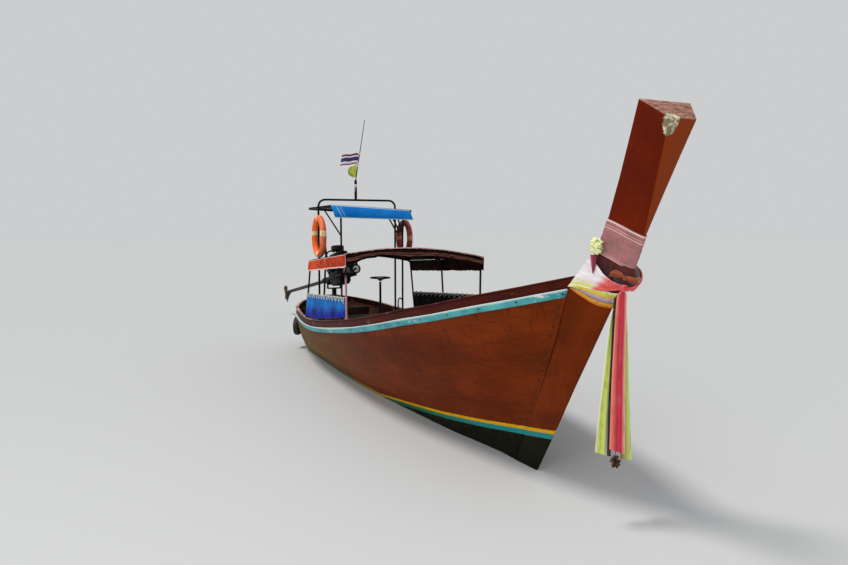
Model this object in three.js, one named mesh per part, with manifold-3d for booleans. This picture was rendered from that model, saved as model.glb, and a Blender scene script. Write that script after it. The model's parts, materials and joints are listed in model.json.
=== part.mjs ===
// A wooden longtail passenger boat, afloat on its waterline.
// Millimetres. +X points to the bow, +Y to port, +Z up.
// The origin is on the centreline and on the waterline, amidships.

import * as THREE from 'three';
import { mergeVertices } from 'three/addons/utils/BufferGeometryUtils.js';
import Module from 'manifold-3d';

const wasm = await Module();
wasm.setup();

const GAP = 0.3;
const RUNNING_GAP = 0.5;
const DEG = Math.PI / 180;

// Backbone and planking of the hull.
const BACKBONE_HALF = 40;
const KEEL_DEPTH = 30;
const KEEL_RISE = 50;
const STERN_POST_DEPTH = 60;
const PLANK = 32;
const RUB_RAIL = { height: 72, depth: 24 };
const COAMING = { height: 84, thick: 28, inset: 4 };
const CAP_RAIL = { width: 54, thick: 18 };
const BOTTOM_STEPS = 2;
const SIDE_STEPS = 5;

// The planks end on a raked plane against the stem: x = foot + rake * z.
const SEAM = { foot: 3400, rake: 0.605 };

// The bottom planks meet the side planks at a level seam, a little over the keel at the bow.
const BOTTOM_SEAM = { z: -130, overKeel: 45 };

// Hull sections. y is the half-breadth; the bilge is the control point of the curved side.
const STATION_COLUMNS = ['x', 'rake', 'keelZ', 'bilgeY', 'bilgeZ', 'sheerY', 'sheerZ'];
const STATIONS = [
  [-2900, 0, -320, 711, -270, 822, 698],
  [-2400, 0, -330, 650, -280, 884, 685],
  [-1800, 0, -330, 590, -285, 940, 678],
  [-1200, 0, -325, 560, -280, 960, 700],
  [-600, 0, -315, 555, -270, 964, 763],
  [0, 0, -300, 540, -250, 968, 843],
  [600, 0, -285, 495, -220, 966, 930],
  [1200, 0, -265, 415, -180, 942, 1024],
  [1800, 0, -240, 350, -120, 893, 1140],
  [2400, 0, -205, 312, 0, 803, 1270],
  [2700, 0.15, -175, 280, 150, 702, 1372],
  [3000, 0.32, -135, 230, 350, 562, 1507],
  [3230, 0.47, -90, 140, 640, 408, 1622],
  [3400, 0.605, -50, 75, 900, 225, 1735],
];
const STATION_STEPS = 12;
const BOW_STATIONS = [2550, 2700, 2850, 3000, 3115, 3230, 3315, 3400];

// The rounded stern: sections that turn about a vertical line at the aftmost station.
const STERN_COLUMNS = ['turn', 'bilgeA', 'bilgeZ', 'sheerA', 'sheerZ'];
const STERN = [
  [0, 671, -270, 782, 698],
  [18, 690, -262, 745, 712],
  [36, 735, -245, 757, 730],
  [54, 812, -220, 812, 752],
  [72, 940, -190, 905, 775],
  [90, 1030, -165, 985, 790],
];
const STERN_TURN_STEP = 11.25;

// Stem and prow: the aft line and the front line, with half-widths.
const STEM_COLUMNS = ['aftX', 'aftZ', 'aftY', 'frontX', 'frontZ', 'frontY'];
const seamX = (z) => SEAM.foot + SEAM.rake * z;
const STEM = [
  [seamX(-95), -95, 40, 3690, -15, 8],
  [seamX(100), 100, 52, 3762, 95, 8],
  [seamX(500), 500, 80, 4000, 480, 9],
  [seamX(900), 900, 106, 4232, 870, 9],
  [seamX(1300), 1300, 145, 4478, 1265, 10],
  [seamX(1735), 1735, 228, 4712, 1645, 10],
  [seamX(1840), 1840, 206, 4786, 1745, 10],
  [4640, 1975, 158, 4876, 1862, 10],
  [4690, 2040, 144, 4920, 1920, 10],
  [4800, 2270, 150, 5022, 2150, 12],
  [4930, 2550, 166, 5132, 2410, 45],
  [5050, 2800, 192, 5240, 2665, 80],
  [5175, 3045, 225, 5345, 2905, 114],
];

// Cloths at the bow. The tails hang from the knot, a little to starboard.
const CLOTH_FIT = 0.8;
const WRAP_THICK = 6.2;
const SASH_THICK = 14.2;
const SASH_START = 0.14;
const TAILS_COLUMNS = ['z', 'backX', 'thick', 'middleY', 'half'];
const TAILS = [
  [1738, 4797, 62, -10, 46],
  [1640, 4812, 52, -16, 56],
  [1000, 4822, 36, -36, 102],
  [450, 4826, 30, -48, 146],
];

// Inside the hull.
const RIB = { first: -2700, last: 2400, step: 600, thick: 42, depth: 44, floorTop: -92 };
const KEELSON = { half: 34, low: 3, high: 60 };
const SOLE = { from: -2640, to: 2050, bottom: -91.6, thick: 24, board: 150, slot: 12 };
const THWARTS = [
  { x: -1800, top: 650, width: 270 },
  { x: -1150, top: 500, width: 320 },
  { x: 0, top: 430, width: 270 },
  { x: 1200, top: 500, width: 270 },
  { x: 2400, top: 680, width: 270 },
];
const THWART_THICK = 32;
const FOREDECK = { from: 2900, drop: 70, thick: 26, to: 4260 };
const AFT_DECK = { from: -3780, to: -2760, top: 560, thick: 28 };

// Engine bed and swivel. The pivot is where the engine tilts.
const PIVOT = { x: -3350, z: 1160 };
const REST_TILT = -8.4;
const BEAM = { half: 100, bottom: AFT_DECK.top + GAP, top: 700 };
const POST = { half: 80, top: 930, tenon: 20 };
const SPINDLE = { radius: 22, top: 1045, flange: 72, plate: 14 };
const HEAD = {
  sleeve: 42, plateHalf: 62, plateBottom: 1058, plateTop: 1074,
  cheekInner: 118, cheekOuter: 132, cheekFoot: 55, cheekRound: 36, pinEnd: 14, boreEnd: 3,
};
const PIN = 15;

// Engine unit, in the tilting frame: x forward from the pivot, z up from it.
const SHAFT_Z = 88;
const RAIL = { inner: 108, outer: 148, bottom: 62, top: 112, aft: -330, fore: 1010 };
const CRADLE = {
  frontWidth: 50, aftWidth: 40, aftTop: 46, aftBottom: 22, tiltTube: 30,
  lugInset: 2, lugHalf: 40, lugThick: 14, lugFoot: -18, lugHead: 72, joinTop: 92,
};
const BLOCK = {
  aft: 130, fore: 780, sump: -60, sumpHalf: 70, sumpRise: 50, waist: 100, top: 370, half: 135,
};
const BELL = [[0, 62], [60, 62], [98, 80], [98, 140], [0, 140]];
const CYLINDER_HEAD = { aftInset: 15, foreInset: 25, half: 112, height: 105 };
const ROCKER_COVER = {
  aftInset: 50, foreInset: 60, half: 88, topHalf: 60, foot: 100, shoulder: 135, top: 168,
};
const AIR_CLEANER = [[34, 0], [34, 22], [112, 30], [118, 52], [118, 118], [104, 130], [0, 134]];
const AIR_CLEANER_X = 360;
const PULLEY = [[92, 0], [92, 16], [78, 24], [92, 32], [92, 46], [40, 52], [40, 74], [0, 74]];
const PULLEY_RISE = 60;
const ALTERNATOR = [
  [50, 0], [66, 14], [66, 130], [48, 146], [20, 146], [20, 168], [44, 170], [44, 192], [0, 192],
];
const ALTERNATOR_AT = { x: 590, z: 280 };
const EXHAUST = 26;
const EXHAUST_LINE = [[690, 55], [380, 55], [190, 65], [70, 115], [0, 255], [-20, 385]];
const TILLER = { radius: 17, line: [[0.8, 87], [130, 90], [260, 120], [440, 150]] };
const TAIL = {
  radius: 38, start: 40, end: -4770, bore: 14, boreDepth: 130, flange: 58, flangeThick: 22,
  lip: 34, bearing: 44, bearingStart: 14, bearingEnd: 90, shoulder: 110,
};
const SKEG = { points: [[50, -30], [620, -30], [330, -110], [80, -250], [45, -240]], half: 5 };
const PROPELLER = {
  hub: 30, hubLength: 120, nose: 16, noseLength: 8, taperLength: 40,
  behind: 6, shaftClearance: 0.6, shaftLength: 100, bladeThick: 8, pitch: 35,
};
const BLADE = [[-20, 15], [-75, 60], [-80, 185], [0, 185], [80, 185], [75, 60], [20, 15]];

// Passenger canopy. It sags to port, more at the fore end.
const CANOPY = { aft: -1660, fore: 830, eaveAft: 1684, eaveFore: 1885, halfAft: 866, halfFore: 972 };
const SAG = { aft: 25, fore: 75 };
const CAMBER = 98;
const CANOPY_SHEET = 8;
const CANOPY_TUBE = 14;
const CANOPY_FIT = {
  railInset: 6, railDrop: 1, railEnd: 20, bowDrop: 1.5, bowThin: 2, bowReach: 0.5, valance: 0.5,
};
const CANOPY_POSTS = [-1580, -420, 770];
const POST_FLANGE = { radius: 26, thick: 9, sunk: 10 };
const VALANCE = { port: 180, starboard: 165, thick: 5 };
const SCREEN_STATIONS = [-1575, -1000, -420, 175, 765];
const CURTAIN = { topAft: 1150, topFore: 1325, thick: 6, boardLower: 40, lift: 24 };
const SCREEN_GAP = 1;

// Helmsman's frame over the engine. The roof is higher on the starboard side.
const HOOP = { x: -1800, half: 660, top: 2660, corner: 110, tube: 17.5 };
const ROOF = { aft: -2600, fore: -985, half: 640, z: 2512, tilt: 34, thick: 12, tube: 15 };
const ROOF_CROSS = { aftInset: 40, lap: 8, endInset: 10 };
const LEG = { x: -1030, y: 500, shoulder: 2080, out: 10, hole: 24 };
const BRACE = { x: -1640, thin: 3 };
const VISOR = {
  half: 665, lean: 60, thick: 14,
  bottomPort: 2325, topPort: 2477, bottomStarboard: 2356, topStarboard: 2550,
};
const MAST = { y: -30, thickTop: 2985, top: 3980, lean: 165, thickRadius: 22, radius: 9, tipRadius: 5 };
const FLAG = { length: 275, height: 175, top: 3430, thick: 3, trail: 90, wave: 22, droop: 30 };

const RINGS_HUNG = {
  port: { side: 1, radius: 260, z: 2036 },
  starboard: { side: -1, radius: 292, z: 2068 },
};
const RING_SECTION = 50;
const WHEEL = { x: -1250, y: 200, z: 1405, radius: 154, rim: 13, spoke: 9, column: 18 };
const WHEEL_HUB = [[24, -61.5], [44, -6], [44, 6], [0, 12]];
const COLUMN_FOOT = { radius: 62, plate: 10, cone: 16, clear: 62 };
const TYRE = { radius: 175, section: 46, turn: 30, out: 780.7, z: 400 };

// Facets round the turned pieces.
const ROUND = 20;

// Colours of the pieces.
const paint = (color, roughness, metalness) =>
  new THREE.MeshStandardMaterial({ color, roughness, metalness });
const hullPaint = paint(0x96461a, 0.6, 0);
const darkRed = paint(0x5a1d14, 0.65, 0);
const teal = paint(0x5fb4ac, 0.55, 0);
const bareWood = paint(0x5d4633, 0.8, 0);
const deckWood = paint(0x6b5540, 0.8, 0);
const steel = paint(0x34312f, 0.5, 0.8);
const brightSteel = paint(0xb9b7b0, 0.35, 0.9);
const castIron = paint(0x2b2a2a, 0.6, 0.6);
const bronze = paint(0x8c6a36, 0.4, 0.9);
const tubePaint = paint(0x2a2c2e, 0.5, 0.5);
const roofCloth = paint(0x7a2f26, 0.9, 0);
const orangeCloth = paint(0xe2561c, 0.9, 0);
const blueCloth = paint(0x1d5fb0, 0.7, 0);
const darkCloth = paint(0x2a2a34, 0.85, 0);
const ringOrange = paint(0xf0561a, 0.5, 0);
const ringFaded = paint(0x9c4a3c, 0.6, 0);
const rubber = paint(0x1a1a1a, 0.9, 0);
const sashPink = paint(0xe85a66, 0.8, 0);
const wrapPink = paint(0xb0746c, 0.85, 0);
const flagCloth = paint(0xb03038, 0.8, 0);

const boat = new THREE.Group();

function add(name, geometry, material, parent = boat) {
  const mesh = new THREE.Mesh(geometry, material);
  mesh.name = name;
  parent.add(mesh);
  return mesh;
}

// Triangles to geometry, turned so that the faces point out.
function solidFrom(triangles) {
  const same = (a, b) => a[0] === b[0] && a[1] === b[1] && a[2] === b[2];
  const real = triangles.filter(([a, b, c]) => !same(a, b) && !same(b, c) && !same(c, a));
  let volume = 0;
  for (const [a, b, c] of real) {
    volume += a[0] * (b[1] * c[2] - b[2] * c[1]);
    volume -= a[1] * (b[0] * c[2] - b[2] * c[0]);
    volume += a[2] * (b[0] * c[1] - b[1] * c[0]);
  }
  const facing = real.map(([a, b, c]) => (volume > 0 ? [a, b, c] : [a, c, b]));
  const geometry = new THREE.BufferGeometry();
  geometry.setAttribute('position', new THREE.Float32BufferAttribute(facing.flat(2), 3));
  const welded = mergeVertices(geometry);
  welded.computeVertexNormals();
  return welded;
}

// The solid between two equal grids of points, grid[i][j], closed at its four edges.
function shell(outer, inner) {
  const triangles = [];
  const quad = (a, b, c, d) => triangles.push([a, b, c], [a, c, d]);
  const rows = outer.length - 1;
  const columns = outer[0].length - 1;
  for (let i = 0; i < rows; i++) {
    for (let j = 0; j < columns; j++) {
      quad(outer[i][j], outer[i + 1][j], outer[i + 1][j + 1], outer[i][j + 1]);
      triangles.push([inner[i][j], inner[i + 1][j + 1], inner[i + 1][j]]);
      triangles.push([inner[i][j], inner[i][j + 1], inner[i + 1][j + 1]]);
    }
    quad(outer[i][0], inner[i][0], inner[i + 1][0], outer[i + 1][0]);
    quad(outer[i][columns], outer[i + 1][columns], inner[i + 1][columns], inner[i][columns]);
  }
  for (let j = 0; j < columns; j++) {
    quad(outer[0][j], outer[0][j + 1], inner[0][j + 1], inner[0][j]);
    quad(outer[rows][j], inner[rows][j], inner[rows][j + 1], outer[rows][j + 1]);
  }
  return solidFrom(triangles);
}

const mirrored = (grid) => grid.map((row) => row.map(([x, y, z]) => [x, -y, z]));

function toManifold(geometry) {
  const bare = geometry.clone();
  bare.deleteAttribute('normal');
  bare.deleteAttribute('uv');
  const welded = mergeVertices(bare, 1e-4);
  const vertProperties = new Float32Array(welded.attributes.position.array);
  const triVerts = new Uint32Array(welded.index.array);
  return new wasm.Manifold(new wasm.Mesh({ numProp: 3, vertProperties, triVerts }));
}

function toGeometry(manifold) {
  const mesh = manifold.getMesh();
  const geometry = new THREE.BufferGeometry();
  geometry.setAttribute('position', new THREE.Float32BufferAttribute(mesh.vertProperties, 3));
  geometry.setIndex(new THREE.Uint32BufferAttribute(mesh.triVerts, 1));
  geometry.computeVertexNormals();
  return geometry;
}

const union = (solids) => solids.reduce((sum, solid) => sum.add(solid));

function boxBetween(x0, x1, y0, y1, z0, z1) {
  const geometry = new THREE.BoxGeometry(x1 - x0, y1 - y0, z1 - z0);
  geometry.translate((x0 + x1) / 2, (y0 + y1) / 2, (z0 + z1) / 2);
  return geometry;
}

const block = (...sides) => toManifold(boxBetween(...sides));

// A round bar between two points.
function bar(from, to, radius, sides = 10, endRadius = radius) {
  const start = new THREE.Vector3(...from);
  const along = new THREE.Vector3(...to).sub(start);
  const geometry = new THREE.CylinderGeometry(endRadius, radius, along.length(), sides);
  const turn = new THREE.Quaternion();
  turn.setFromUnitVectors(new THREE.Vector3(0, 1, 0), along.clone().normalize());
  geometry.applyQuaternion(turn);
  geometry.translate(...start.addScaledVector(along, 0.5));
  return geometry;
}

const rod = (...args) => toManifold(bar(...args));

// A round tube swept along a smooth curve through the points.
function bentTube(points, radius, steps, sides = 8) {
  const section = new THREE.Shape();
  for (let k = 0; k < sides; k++) {
    const angle = (2 * Math.PI * k) / sides;
    const move = k === 0 ? 'moveTo' : 'lineTo';
    section[move](radius * Math.cos(angle), radius * Math.sin(angle));
  }
  section.closePath();
  const path = new THREE.CatmullRomCurve3(points.map((point) => new THREE.Vector3(...point)));
  return new THREE.ExtrudeGeometry(section, { steps, extrudePath: path, bevelEnabled: false });
}

// A round tube with mitred joints along points that lie in a plane with the given normal.
function flatTube(points, radius, normal, sides = 8) {
  const path = points.map((point) => new THREE.Vector3(...point));
  const up = new THREE.Vector3(...normal);
  const section = (k, sign) => {
    const before = path[k].clone().sub(path[Math.max(0, k - 1)]).normalize();
    const after = path[Math.min(path.length - 1, k + 1)].clone().sub(path[k]).normalize();
    const along = before.clone().add(after).normalize();
    const out = new THREE.Vector3().crossVectors(up, along);
    const bend = Math.max(before.dot(along), after.dot(along));
    const half = Array.from({ length: sides / 2 + 1 }, (_, j) => (2 * Math.PI * j) / sides);
    return half.map((angle) => path[k].clone()
      .addScaledVector(out, (radius * Math.cos(angle)) / bend)
      .addScaledVector(up, sign * radius * Math.sin(angle))
      .toArray()
      .map((value) => Math.round(value * 1e4) / 1e4));
  };
  const places = path.map((_, k) => k);
  return shell(places.map((k) => section(k, 1)), places.map((k) => section(k, -1)));
}

// A flat outline in the x-z plane, given its width across the boat.
function sideOutline(points, y0, y1) {
  const outline = new THREE.Shape(points.map(([x, z]) => new THREE.Vector2(x, z)));
  const depth = y1 - y0;
  const geometry = new THREE.ExtrudeGeometry(outline, { depth, bevelEnabled: false });
  geometry.rotateX(Math.PI / 2);
  geometry.translate(0, y1, 0);
  return geometry;
}

// An outline in the y-z plane, given its length along the boat.
function endOutline(points, x0, x1) {
  const outline = new THREE.Shape(points.map(([y, z]) => new THREE.Vector2(y, z)));
  const depth = x1 - x0;
  const geometry = new THREE.ExtrudeGeometry(outline, { depth, bevelEnabled: false });
  geometry.rotateX(Math.PI / 2);
  geometry.rotateZ(Math.PI / 2);
  geometry.translate(x0, 0, 0);
  return geometry;
}

// Hull lines: one smooth curve a column through the rows of a table.
function linesOf(rows, columns) {
  const places = rows.map((row) => row[0]);
  const values = rows.flatMap((row) => row.slice(1));
  const smooth = new THREE.CubicInterpolant(places, values, columns.length - 1);
  return (place) => {
    const result = Array.from(smooth.evaluate(place));
    return Object.fromEntries(columns.map((name, k) => [name, k === 0 ? place : result[k - 1]]));
  };
}

const stationAt = linesOf(STATIONS, STATION_COLUMNS);
const sternAt = linesOf(STERN, STERN_COLUMNS);

// Where a curved side reaches a height, as a share of its way up.
function reaching(z, keelZ, bilgeZ, sheerZ) {
  const a = keelZ - 2 * bilgeZ + sheerZ;
  const b = 2 * (bilgeZ - keelZ);
  return (Math.sqrt(b * b - 4 * a * (keelZ - z)) - b) / (2 * a);
}

// One half-section in its own plane: a is the distance out from the backbone's face.
function halfSection(keelZ, bilgeA, bilgeZ, sheerA, sheerZ) {
  const side = new THREE.QuadraticBezierCurve(
    new THREE.Vector2(0, keelZ),
    new THREE.Vector2(bilgeA, bilgeZ),
    new THREE.Vector2(sheerA, sheerZ),
  );
  const slope = 2 * Math.hypot(sheerA - bilgeA, sheerZ - bilgeZ);
  const railStart = 1 - RUB_RAIL.height / slope;
  const seam = reaching(Math.max(BOTTOM_SEAM.z, keelZ + BOTTOM_SEAM.overKeel), keelZ, bilgeZ, sheerZ);
  const places = [0];
  for (let k = 1; k <= BOTTOM_STEPS; k++) places.push((seam * k) / BOTTOM_STEPS);
  for (let k = 1; k <= SIDE_STEPS; k++) places.push(seam + ((railStart - seam) * k) / SIDE_STEPS);
  places.push(1);
  const points = places.map((t) => side.getPoint(t));
  const inward = places.map((t) => {
    const along = side.getTangent(t);
    return new THREE.Vector2(-along.y, along.x);
  });
  return { points, inward };
}

const STERN_CENTRE = STATIONS[0][0];
const FACE = BACKBONE_HALF + GAP;

function sternRings() {
  const keelZ = STATIONS[0][2];
  const rings = [];
  for (let turn = 90; turn > 0; turn -= STERN_TURN_STEP) {
    const row = sternAt(turn);
    const out = [-Math.sin(turn * DEG), Math.cos(turn * DEG)];
    const section = halfSection(keelZ, row.bilgeA, row.bilgeZ, row.sheerA, row.sheerZ);
    rings.push({ x: STERN_CENTRE, rake: 0, out, section, keelZ });
  }
  return rings;
}

function stationRings() {
  const places = [];
  const [last] = STATIONS.filter(([, rake]) => rake === 0).reverse();
  for (let k = 0; k <= STATION_STEPS; k++) {
    places.push(STERN_CENTRE + ((last[0] - STERN_CENTRE) * k) / STATION_STEPS);
  }
  places.push(...BOW_STATIONS);
  return places.map((x) => {
    const row = stationAt(x);
    const rake = Math.max(0, row.rake);
    const { keelZ, bilgeZ, sheerZ } = row;
    const section = halfSection(keelZ, row.bilgeY - FACE, bilgeZ, row.sheerY - FACE, sheerZ);
    return { x, rake, out: [0, 1], section, keelZ };
  });
}

const RINGS = [...sternRings(), ...stationRings()];

// A point of a ring: j along the section, moved inward and up, kept off the centreline.
function ringPoint(ring, j, inset, lift = 0, least = 0) {
  const { points, inward } = ring.section;
  const last = j === points.length - 1;
  let a = points[j].x + inward[j].x * inset;
  let z = points[j].y + inward[j].y * inset + lift;
  if (j === 0) {
    a = 0;
    z = points[0].y + inset / Math.max(0.35, inward[0].y);
  }
  if (last) {
    a = points[j].x - inset;
    z = points[j].y + lift;
  }
  a = Math.max(a, least);
  const x = ring.x + ring.rake * z + a * ring.out[0];
  return [x, FACE + a * ring.out[1], z];
}

const SHEER = RINGS[0].section.points.length - 1;

// The skin's points from one row to another. The first row can be lifted, to clear the planks below.
function skin(inset, least = 0, from = 0, to = SHEER, lift = 0) {
  const rows = Array.from({ length: to - from + 1 }, (_, k) => from + k);
  return RINGS.map((ring) =>
    rows.map((j) => ringPoint(ring, j, inset, j === from ? lift : 0, least)));
}

function hullPiece(name, outer, inner, material) {
  add(`${name}_port`, shell(outer, inner), material);
  add(`${name}_starboard`, shell(mirrored(outer), mirrored(inner)), material);
}

// Pieces that go round the stern meet on the centreline: a first ring is set there.
function closedAtStern(grid) {
  const [first] = grid;
  return [first.map(([x, , z]) => [x, GAP / 2, z]), ...grid];
}

// Planking ends on the stem, the stern post and the keel.
function planking() {
  const low = (inset) => skin(inset, 0, 0, BOTTOM_STEPS);
  const high = (inset) => skin(inset, 0, BOTTOM_STEPS, SHEER, GAP);
  hullPiece('bottom_planks', low(0), low(PLANK), hullPaint);
  hullPiece('side_planks', high(0), high(PLANK), hullPaint);
}

// Moulded teal rail just under the sheer, round the stern.
function rubRails() {
  const grid = (out) =>
    closedAtStern(RINGS.map((ring) => [
      ringPoint(ring, SHEER - 1, -out),
      ringPoint(ring, SHEER, -out),
    ]));
  hullPiece('rub_rail', grid(GAP + RUB_RAIL.depth), grid(GAP), teal);
}

// Wash board that stands on the sheer, with its cap.
function coamings() {
  const grid = (inset, low, high) =>
    closedAtStern(RINGS.map((ring) => [
      ringPoint(ring, SHEER, inset, low),
      ringPoint(ring, SHEER, inset, high),
    ]));
  const { inset, thick, height } = COAMING;
  const outer = grid(inset, GAP, height);
  const inner = grid(inset + thick, GAP, height);
  hullPiece('coaming', outer, inner, darkRed);
  const capOut = inset + thick / 2 - CAP_RAIL.width / 2;
  const capOuter = grid(capOut, height + GAP, height + CAP_RAIL.thick);
  const capInner = grid(capOut + CAP_RAIL.width, height + GAP, height + CAP_RAIL.thick);
  hullPiece('cap_rail', capOuter, capInner, darkRed);
}

// Keel: a straight timber from the stern post to the stem.
function keel() {
  const rings = RINGS.filter((ring) => ring.out[1] === 1);
  const at = (ring, z) => [ring.x + ring.rake * z, z];
  const bottom = rings.map((ring) => at(ring, ring.keelZ - KEEL_DEPTH));
  const top = rings.map((ring) => at(ring, ring.keelZ + KEEL_RISE)).reverse();
  const outline = [...bottom, ...top].map(([x, z]) => [x - GAP, z]);
  add('keel', sideOutline(outline, -BACKBONE_HALF, BACKBONE_HALF), hullPaint);
}

// Stern post: follows the run of the planks up to the sheer.
function sternPost() {
  const section = RINGS[0].section;
  const outer = section.points.map((point) => [STERN_CENTRE - Math.max(point.x, 2 * GAP), point.y]);
  const inner = section.points.map((point, j) => {
    const inward = section.inward[j];
    const level = j === section.points.length - 1 ? 0 : inward.y * STERN_POST_DEPTH;
    const a = Math.max(2 * GAP, point.x + inward.x * STERN_POST_DEPTH);
    return [STERN_CENTRE - a, point.y + level];
  });
  const outline = [...outer, ...inner.reverse()];
  add('stern_post', sideOutline(outline, -BACKBONE_HALF, BACKBONE_HALF), hullPaint);
}

// Stem and prow from the forefoot to the sawn-off head.
function stemRow(k) {
  return Object.fromEntries(STEM_COLUMNS.map((name, c) => [name, STEM[k][c]]));
}

// One side of the stem, grown outward by the given amount.
function stemSide(from, to, grow) {
  const grid = [];
  for (let k = from; k <= to; k++) {
    const row = stemRow(k);
    grid.push([
      [row.aftX + GAP - grow, row.aftY + grow, row.aftZ],
      [row.frontX + grow, row.frontY + grow * 0.6, row.frontZ],
    ]);
  }
  return grid;
}

function stemPost() {
  const side = stemSide(0, STEM.length - 1, 0);
  add('stem_post', shell(side, mirrored(side)), hullPaint);
}

// Cloth bound round the stem: a sleeve with the stem's own shape inside.
function sleeve(from, to, inner, outer) {
  const outside = stemSide(from, to, outer);
  const inside = stemSide(from, to, inner);
  const past = (grid, k, reach) => {
    const other = k === 0 ? 1 : grid.length - 2;
    return grid[k].map((point, c) =>
      point.map((value, axis) => value + (value - grid[other][c][axis]) * reach));
  };
  const long = [past(inside, 0, 0.2), ...inside, past(inside, inside.length - 1, 0.2)];
  const solid = toManifold(shell(outside, mirrored(outside)));
  return toGeometry(solid.subtract(toManifold(shell(long, mirrored(long)))));
}

// The sash lies round the sides and the front of the stem, clear of the planks' ends.
function sash(from, to, inner, outer) {
  const past = [from, to].map((k) => {
    const { aftX, aftZ, frontX, frontZ } = stemRow(k);
    const lean = (k === from ? -1 : 1) * 0.6;
    const x = aftX + (frontX - aftX) * SASH_START + lean * (stemRow(to).aftX - stemRow(from).aftX);
    const z = aftZ + (frontZ - aftZ) * SASH_START + lean * (stemRow(to).aftZ - stemRow(from).aftZ);
    return [x, z];
  });
  const behind = [[past[0][0] - 600, past[0][1]], ...past, [past[1][0] - 600, past[1][1]]];
  const back = toManifold(sideOutline(behind, -600, 600));
  return toGeometry(toManifold(sleeve(from, to, inner, outer)).subtract(back));
}

function bowCloths() {
  add('prow_wrap', sleeve(8, 9, CLOTH_FIT, CLOTH_FIT + WRAP_THICK), wrapPink);
  add('sash_wrap', sash(5, 7, CLOTH_FIT, CLOTH_FIT + SASH_THICK), sashPink);
  const face = (depth) => TAILS.map((values) => {
    const row = Object.fromEntries(TAILS_COLUMNS.map((name, k) => [name, values[k]]));
    const x = row.backX + depth * row.thick;
    return [[x, row.middleY - row.half, row.z], [x, row.middleY + row.half, row.z]];
  });
  add('sash_tails', shell(face(1), face(0)), sashPink);
}

// The room inside the planks, less the given distance, as a solid to fit pieces with.
function interior(inset) {
  const side = skin(PLANK + inset, -BACKBONE_HALF + 2);
  return toManifold(shell(side, mirrored(side)));
}

const ROOM = interior(0.6);
const INSIDE_RIBS = interior(RIB.depth);
const BETWEEN_RIBS = interior(RIB.depth + 0.6);

function fitted(x0, x1, z0, z1, y0 = -1200, y1 = 1200) {
  return ROOM.intersect(block(x0, x1, y0, y1, z0, z1));
}

// Ribs against the planks, their floor timbers and the keelson, framed together.
function frames() {
  const lining = ROOM.subtract(INSIDE_RIBS);
  const pieces = [];
  for (let x = RIB.first; x <= RIB.last; x += RIB.step) {
    const half = RIB.thick / 2;
    const ceiling = stationAt(x).sheerZ - 60;
    pieces.push(lining.intersect(block(x - half, x + half, -1200, 1200, -500, ceiling)));
    pieces.push(fitted(x - half, x + half, -500, RIB.floorTop));
  }
  const places = STATIONS.filter(([x]) => x >= RIB.first - 200 && x <= RIB.last);
  const low = places.map(([x, , keelZ]) => [x, keelZ + KEEL_RISE + KEELSON.low]);
  const high = places.map(([x, , keelZ]) => [x, keelZ + KEEL_RISE + KEELSON.high]).reverse();
  const beam = sideOutline([...low, ...high], -KEELSON.half, KEELSON.half);
  const keelClear = toManifold(sideOutline(keelRoom(), -60, 60));
  add('frames', toGeometry(union([...pieces, toManifold(beam)]).subtract(keelClear)), bareWood);
}

// The keel's upper side and all below it, with a fitting gap.
function keelRoom() {
  const rings = RINGS.filter((ring) => ring.out[1] === 1);
  const top = rings.map(({ x, rake, keelZ }) => {
    const z = keelZ + KEEL_RISE;
    return [x + rake * z, z + GAP];
  });
  return [[STERN_CENTRE, -600], [3400, -600], ...top.reverse()];
}

// Bottom boards on the floor timbers, with slots between them.
function sole() {
  const { from, to, bottom, thick, board: width, slot } = SOLE;
  const solid = BETWEEN_RIBS.intersect(block(from, to, -1200, 1200, bottom, bottom + thick));
  const slots = [-1.5, -0.5, 0.5, 1.5].map((k) => {
    const y = k * width;
    return block(from + 90, to - 90, y - slot / 2, y + slot / 2, bottom - 1, bottom + thick + 1);
  });
  add('sole', toGeometry(solid.subtract(union(slots))), deckWood);
}

function thwarts() {
  THWARTS.forEach(({ x, top, width }, k) => {
    const plank = fitted(x - width / 2, x + width / 2, top - THWART_THICK, top);
    add(`thwart_${k + 1}`, toGeometry(plank), deckWood);
  });
}

function decks() {
  const line = STATIONS.filter(([x]) => x >= 2700).map(([x, rake, , , , , sheerZ]) =>
    [x + rake * sheerZ, sheerZ - FOREDECK.drop]);
  const low = line.map(([x, z]) => [x, z - FOREDECK.thick]).reverse();
  const slab = toManifold(sideOutline([...line, ...low], -1200, 1200));
  const reach = block(FOREDECK.from, FOREDECK.to, -1200, 1200, 0, 3000);
  add('foredeck', toGeometry(ROOM.intersect(slab).intersect(reach)), deckWood);
  const { from, to, top, thick } = AFT_DECK;
  add('aft_deck', toGeometry(fitted(from, to, top - thick, top)), deckWood);
}

// Cross beam and post that carry the engine, with the steel spindle on top.
function engineBed() {
  const beam = fitted(PIVOT.x - BEAM.half, PIVOT.x + BEAM.half, BEAM.bottom, BEAM.top);
  const { half, top, tenon } = POST;
  const post = block(PIVOT.x - half, PIVOT.x + half, -half, half, BEAM.top - tenon, top);
  add('engine_bed', toGeometry(beam.add(post)), bareWood);
  const foot = top + GAP;
  const profile = [
    [0, foot], [SPINDLE.flange, foot], [SPINDLE.flange, foot + SPINDLE.plate],
    [SPINDLE.radius, foot + SPINDLE.plate], [SPINDLE.radius, SPINDLE.top], [0, SPINDLE.top],
  ];
  add('spindle', turned(profile, ROUND), steel).position.x = PIVOT.x;
}

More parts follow.
